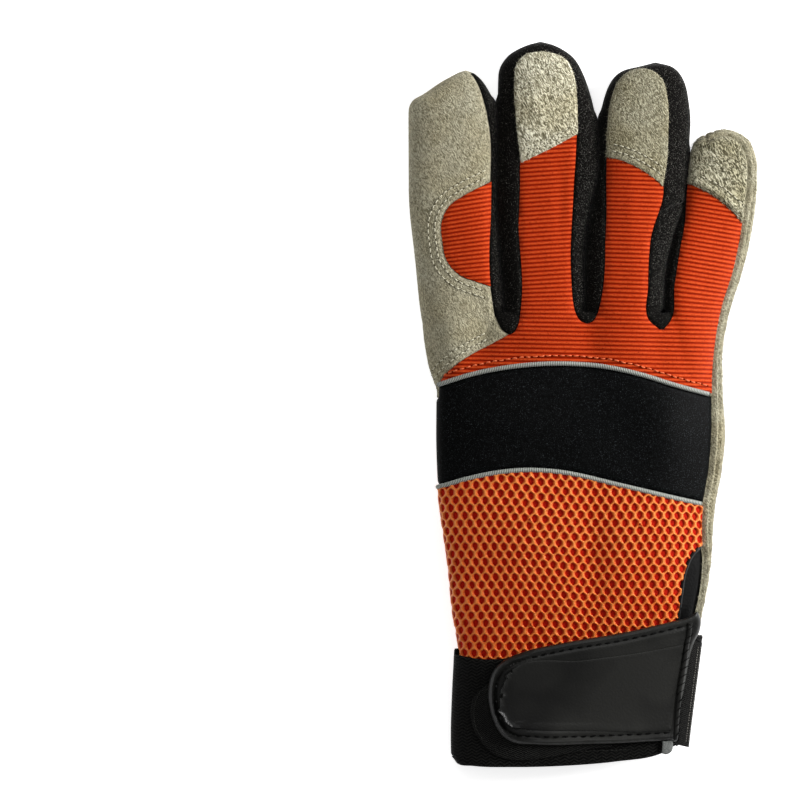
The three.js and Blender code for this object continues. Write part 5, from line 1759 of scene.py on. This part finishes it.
# Rows of stitches as one piece; each row is its places and their normals
def threads(name, rows, stitch, material, seeds=None):
    points, faces, start = [], [], 0
    for row, seed in zip(rows, seeds or range(len(rows))):
        rowPoints, rowFaces = stitchRow(*row, stitch, seed)
        points.append(rowPoints)
        faces.append(rowFaces + start)
        start += len(rowPoints)
    spots = np.vstack(points)
    spots[:, 2] = np.maximum(spots[:, 2], 0)  # flat where the glove rests on the floor
    addPiece(name, meshOf(name, spots, np.vstack(faces)), material, (), 60)


# Stitches: their pitch, length and radius, and how far they lie above the panel
suedeStitch = {"pitch": 2.2, "length": 1.55, "radius": 0.2, "lift": 0.06}
# Dark domes at the needle holes: painted shade
holeShadeMark = {"pitch": 2.2, "length": 0.5, "radius": 0.2, "lift": 0.06, "start": 0.5}
backStitch = {"pitch": 2.35, "length": 1.7, "radius": 0.24, "lift": 0.15}
ribHoleShade = {"pitch": 2.35, "length": 0.6, "radius": 0.22, "lift": 0.12, "start": 0.5}
strapStitch = {"pitch": 3.2, "length": 2.3, "radius": 0.24, "lift": 0.05}
whipStitch = {"pitch": 2.9, "length": 2.0, "radius": 0.2, "lift": 0.15, "slant": 1.2}
padStitch = {"pitch": 2.5, "length": 1.9, "radius": 0.25, "lift": 0.08}
thinStitch = {"pitch": 1.5, "length": 1.35, "radius": 0.1, "lift": 0.02}
dotStitch = {"pitch": 0.9, "length": 0.5, "radius": 0.16, "lift": 0.02}

leatherTree = treeOf(leather)
suedeRows = [alongPanel(leatherTree, line) for line in sewnLines]
for cap, lines in zip(caps, capRows):
    capSurface = treeOf(cap)
    suedeRows += [alongPanel(capSurface, line) for line in lines]
threads("suedeStitches", suedeRows, suedeStitch, suedeThread)
threads("needleHoles", suedeRows, holeShadeMark, needlePit)
orangeLine = beside(upperLine, 2.7)
orangeLine = orangeLine[(orangeLine[:, 0] > -49) & (orangeLine[:, 0] < 44)]
orangeRows = [alongPanel(treeOf(backRibs), orangeLine)]
threads("orangeStitches", orangeRows, backStitch, orangeThread, [1])
threads("orangeNeedleHoles", orangeRows, ribHoleShade, redPit, [1])

# Black rows in the strap's channel, and whip stitches over the slanted bead at its right end
strapTree = treeOf(strap)
strapLines = [
    curveThrough([(34.8, -75.9), (13.0, -80.9), (-6.8, -84.3), (-21.0, -87.6)]),
    curveThrough([(30.6, -112.9), (13.0, -113.6), (-16.0, -114.2), (-23.4, -113.8)]),
]
strapRows = [alongPanel(strapTree, line) for line in strapLines]
threads("strapStitches", strapRows, strapStitch, blackThread)
bead = {"radius": 0.85, "lift": 0.25}
beadLine = curveThrough([(36.6, -74.6), (34.6, -90.0), (32.6, -104.0), (31.6, -116.2)], 0.3)
beadSpots, beadNormals = alongPanel(strapTree, beadLine)
beadMesh = cordMesh(beadSpots, beadNormals, bead["radius"], bead["lift"], 10)
addPiece("strapBead", beadMesh, vinyl)
overBead = beadSpots + beadNormals * (bead["radius"] + bead["lift"])
threads("whipStitches", [(overBead, beadNormals)], whipStitch, blackThread, [1])

# Grey thread round the loop patch and under the strap, and pale dots down the woven tab
loopLine = curveThrough([
    (-31.0, -97.6), (-35.4, -98.6), (-36.8, -101.8), (-36.9, -111.2), (-34.0, -116.4),
], 0.4)
underLine = curveThrough([(-30.0, -119.2), (-16.0, -119.6), (0, -119.4), (16, -118.9)], 0.5)
cuffRuns = [alongPanel(treeOf(loop), loopLine), alongPanel(treeOf(cuffShell), underLine)]
threads("cuffStitches", cuffRuns, thinStitch, greyThread, [1, 1])
tabTree, tabLine = treeOf(tab), curveThrough([(40.6, -83.0), (36.4, -117.6)], 0.4)
tabRows = [alongPanel(tabTree, tabLine - (gap, 0)) for gap in (0.0, 0.9)]
threads("tabStitches", tabRows, dotStitch, lint)

# White double rows on the grip pads, and on the thumb's saddle along its knitted side
padRows = []
for pad, outline in ((knucklePad, knucklePadOutline), (palmPad, palmPadOutline)):
    padTree, plan = treeOf(pad), curveThrough(outline, 0.7, True)
    for inset in (2.1, 4.2):
        ring = grownPlan(plan, -inset)
        ring = ring[awayFrom([plan], ring[:, 0], ring[:, 1]) > inset - 0.12]
        padRows.append(alongPanel(padTree, np.vstack([ring, ring[:1]]), False))
threads("padStitches", padRows, padStitch, whiteThread)
saddleTree = treeOf(thumbSaddle)
saddleRows = []
for inset in (2.4, 4.8):
    row = beside(knitEdge, -inset)
    row = row[(row[:, 0] > -34) & (row[:, 1] < 33)]
    saddleRows.append(alongPanel(saddleTree, row, False))
threads("saddleStitches", saddleRows, suedeStitch, whiteThread)
threads("saddleNeedleHoles", saddleRows, holeShadeMark, needlePit)
print("stitched")


# Loose fibres, as thin three-sided hairs: how many to a square millimetre, how long they are in
# the mean, and how steeply they stand
rollHair = {"density": 3.0, "length": 0.75, "stand": 1.2}
rollFleck = {"density": 2.0, "length": 0.5, "stand": 0.6}
capHair = {"density": 3.0, "length": 1.0, "stand": 0.9}
wallHair = {"density": 4.0, "length": 0.4, "stand": 0.5}


def fibres(name, mesh, keep, hair, material, seed):
    mesh.calc_loop_triangles()
    corners = np.empty(len(mesh.loop_triangles) * 3, int)
    mesh.loop_triangles.foreach_get("vertices", corners)
    spots = toPattern(mesh)[corners.reshape(-1, 3)]
    crosses = np.cross(spots[:, 1] - spots[:, 0], spots[:, 2] - spots[:, 0])
    area = np.linalg.norm(crosses, axis=1) / 2
    kept = keep(spots.mean(axis=1), crosses / np.maximum(2 * area, 1e-9)[:, None]) * area
    dice = np.random.default_rng(seed)
    count = int(kept.sum() * hair["density"])
    chosen = dice.choice(len(area), count, p=kept / kept.sum())
    a, b = dice.random((2, count))
    a, b = np.where(a + b > 1, 1 - a, a), np.where(a + b > 1, 1 - b, b)
    t = spots[chosen]
    root = t[:, 0] + a[:, None] * (t[:, 1] - t[:, 0]) + b[:, None] * (t[:, 2] - t[:, 0])
    normal = crosses[chosen] / np.maximum(2 * area[chosen], 1e-9)[:, None]
    drift = dice.normal(0, 1, (count, 3))
    drift -= normal * np.sum(drift * normal, axis=1)[:, None]
    drift /= np.linalg.norm(drift, axis=1)[:, None]
    way = drift + normal * (hair["stand"] * dice.random(count))[:, None]
    way /= np.linalg.norm(way, axis=1)[:, None]
    side = np.cross(way, normal)
    side /= np.maximum(np.linalg.norm(side, axis=1), 1e-6)[:, None]
    up = np.cross(side, way)
    run = hair["length"] * (0.5 + dice.random(count))[:, None]
    thick, sunk = 0.07, 0.08
    low = root - normal * sunk
    points = np.stack([
        low + side * thick, low - side * thick, low + up * thick, root + way * run,
    ], axis=1).reshape(-1, 3)
    one = np.array([(0, 1, 3), (1, 2, 3), (2, 0, 3), (0, 2, 1)])
    faces = (one[None] + (np.arange(count) * 4)[:, None, None]).reshape(-1, 3)
    addPiece(name, meshOf(name, points, faces), material, (), 60)
    print(name, count)


# Where fibres stand, as a share: on the walls' tops, on the raw edge and on the caps' sides
# More lint where the walls face the lamp: real grey lint that also stands for a painted sheen
def lintAndSheenOnWalls(middles, normals):
    return (normals[:, 2] > 0.1) * (middles[:, 1] > 34) * np.clip(0.25 + normals[:, 0], 0.1, 1)


def nearRoll(middles, normals):
    away = awayFrom([roll], middles[:, 0], middles[:, 1])
    isRoll = (middles[:, 0] > 36) & (away < 7) & (normals[:, 2] > -0.4)
    return np.where(isRoll, 1.0, 0.05 * (normals[:, 2] > -0.3))


def nearCapEdge(middles, normals):
    return np.where(normals[:, 2] < 0.55, 1.0, 0.12) * (middles[:, 1] > 60)


fibres("leatherFibres", leather, nearRoll, rollHair, paintedLitCapSuede, 11)
fibres("leatherFlecks", leather, nearRoll, rollFleck, needlePit, 17)
for name, cap in zip(capNames, caps):
    fibres("capFibres" + name, cap, nearCapEdge, capHair, paintedLitCapSuede, 12)
for i, wall in enumerate(sideWalls):
    fibres(f"wallLint{i + 1}", wall, lintAndSheenOnWalls, wallHair, lint, 13 + i)

# Camera straight above the glove, with a long lens that hardly shrinks what lies lower
view = {"place": (-0.0632, 0.0019, 2.3143), "lens": 300, "near": 0.05, "far": 20}
camera = bpy.data.objects.new("camera", bpy.data.cameras.new("camera"))
bpy.context.scene.collection.objects.link(camera)
camera.location = view["place"]
camera.data.lens = view["lens"]
camera.data.clip_start, camera.data.clip_end = view["near"], view["far"]
bpy.context.scene.camera = camera

# A paper-white floor that glows a little, as under a light tent; it lies just below the glove
floorHalf, floorDrop = 3, 0.0004
floorMaterial = finishMaterial(newMaterial("paleFloor"), {
    "Base Color": colour("#fafafa"), "Roughness": 0.9, "Specular IOR Level": 0.2,
    "Emission Color": colour("#ffffff"), "Emission Strength": 0.7,
})
floorMesh = bpy.data.meshes.new("floor")
ends = [(-1, -1), (1, -1), (1, 1), (-1, 1)]
corners = [(floorHalf * x, floorHalf * y, -floorDrop) for x, y in ends]
floorMesh.from_pydata(corners, [], [(0, 1, 2, 3)])
floorMesh.materials.append(floorMaterial)
floorPiece = bpy.data.objects.new("floor", floorMesh)
bpy.context.scene.collection.objects.link(floorPiece)
floorPiece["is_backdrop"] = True


# A round soft light that faces the glove
def areaLight(name, place, size, power):
    light = bpy.data.lights.new(name, "AREA")
    light.shape = "DISK"
    light.size = size
    light.energy = power
    lamp = bpy.data.objects.new(name, light)
    lamp.location = place
    aim = Vector((0, 0, 0.01)) - Vector(place)
    lamp.rotation_euler = aim.to_track_quat("-Z", "Y").to_euler()
    bpy.context.scene.collection.objects.link(lamp)


areaLight("softKey", (0.85, 0.3, 0.44), 0.55, 17)
areaLight("softTop", (-0.2, 0.5, 1.4), 1.0, 4)
world = bpy.data.worlds.new("studio")
world.use_nodes = True
background = world.node_tree.nodes["Background"].inputs
background["Color"].default_value = colour("#ffffff")
background["Strength"].default_value = 0.3
bpy.context.scene.world = world
bpy.context.scene.view_settings.view_transform = "Standard"  # keeps the floor paper-white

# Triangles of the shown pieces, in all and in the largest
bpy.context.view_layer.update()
dressed = [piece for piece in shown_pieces() if piece.type == "MESH"]
triangles = {
    piece.name: sum(len(face.vertices) - 2 for face in piece.data.polygons) for piece in dressed
}
most = max(triangles, key=triangles.get)
print("pieces", len(dressed), "triangles", sum(triangles.values()), "most", most, triangles[most])
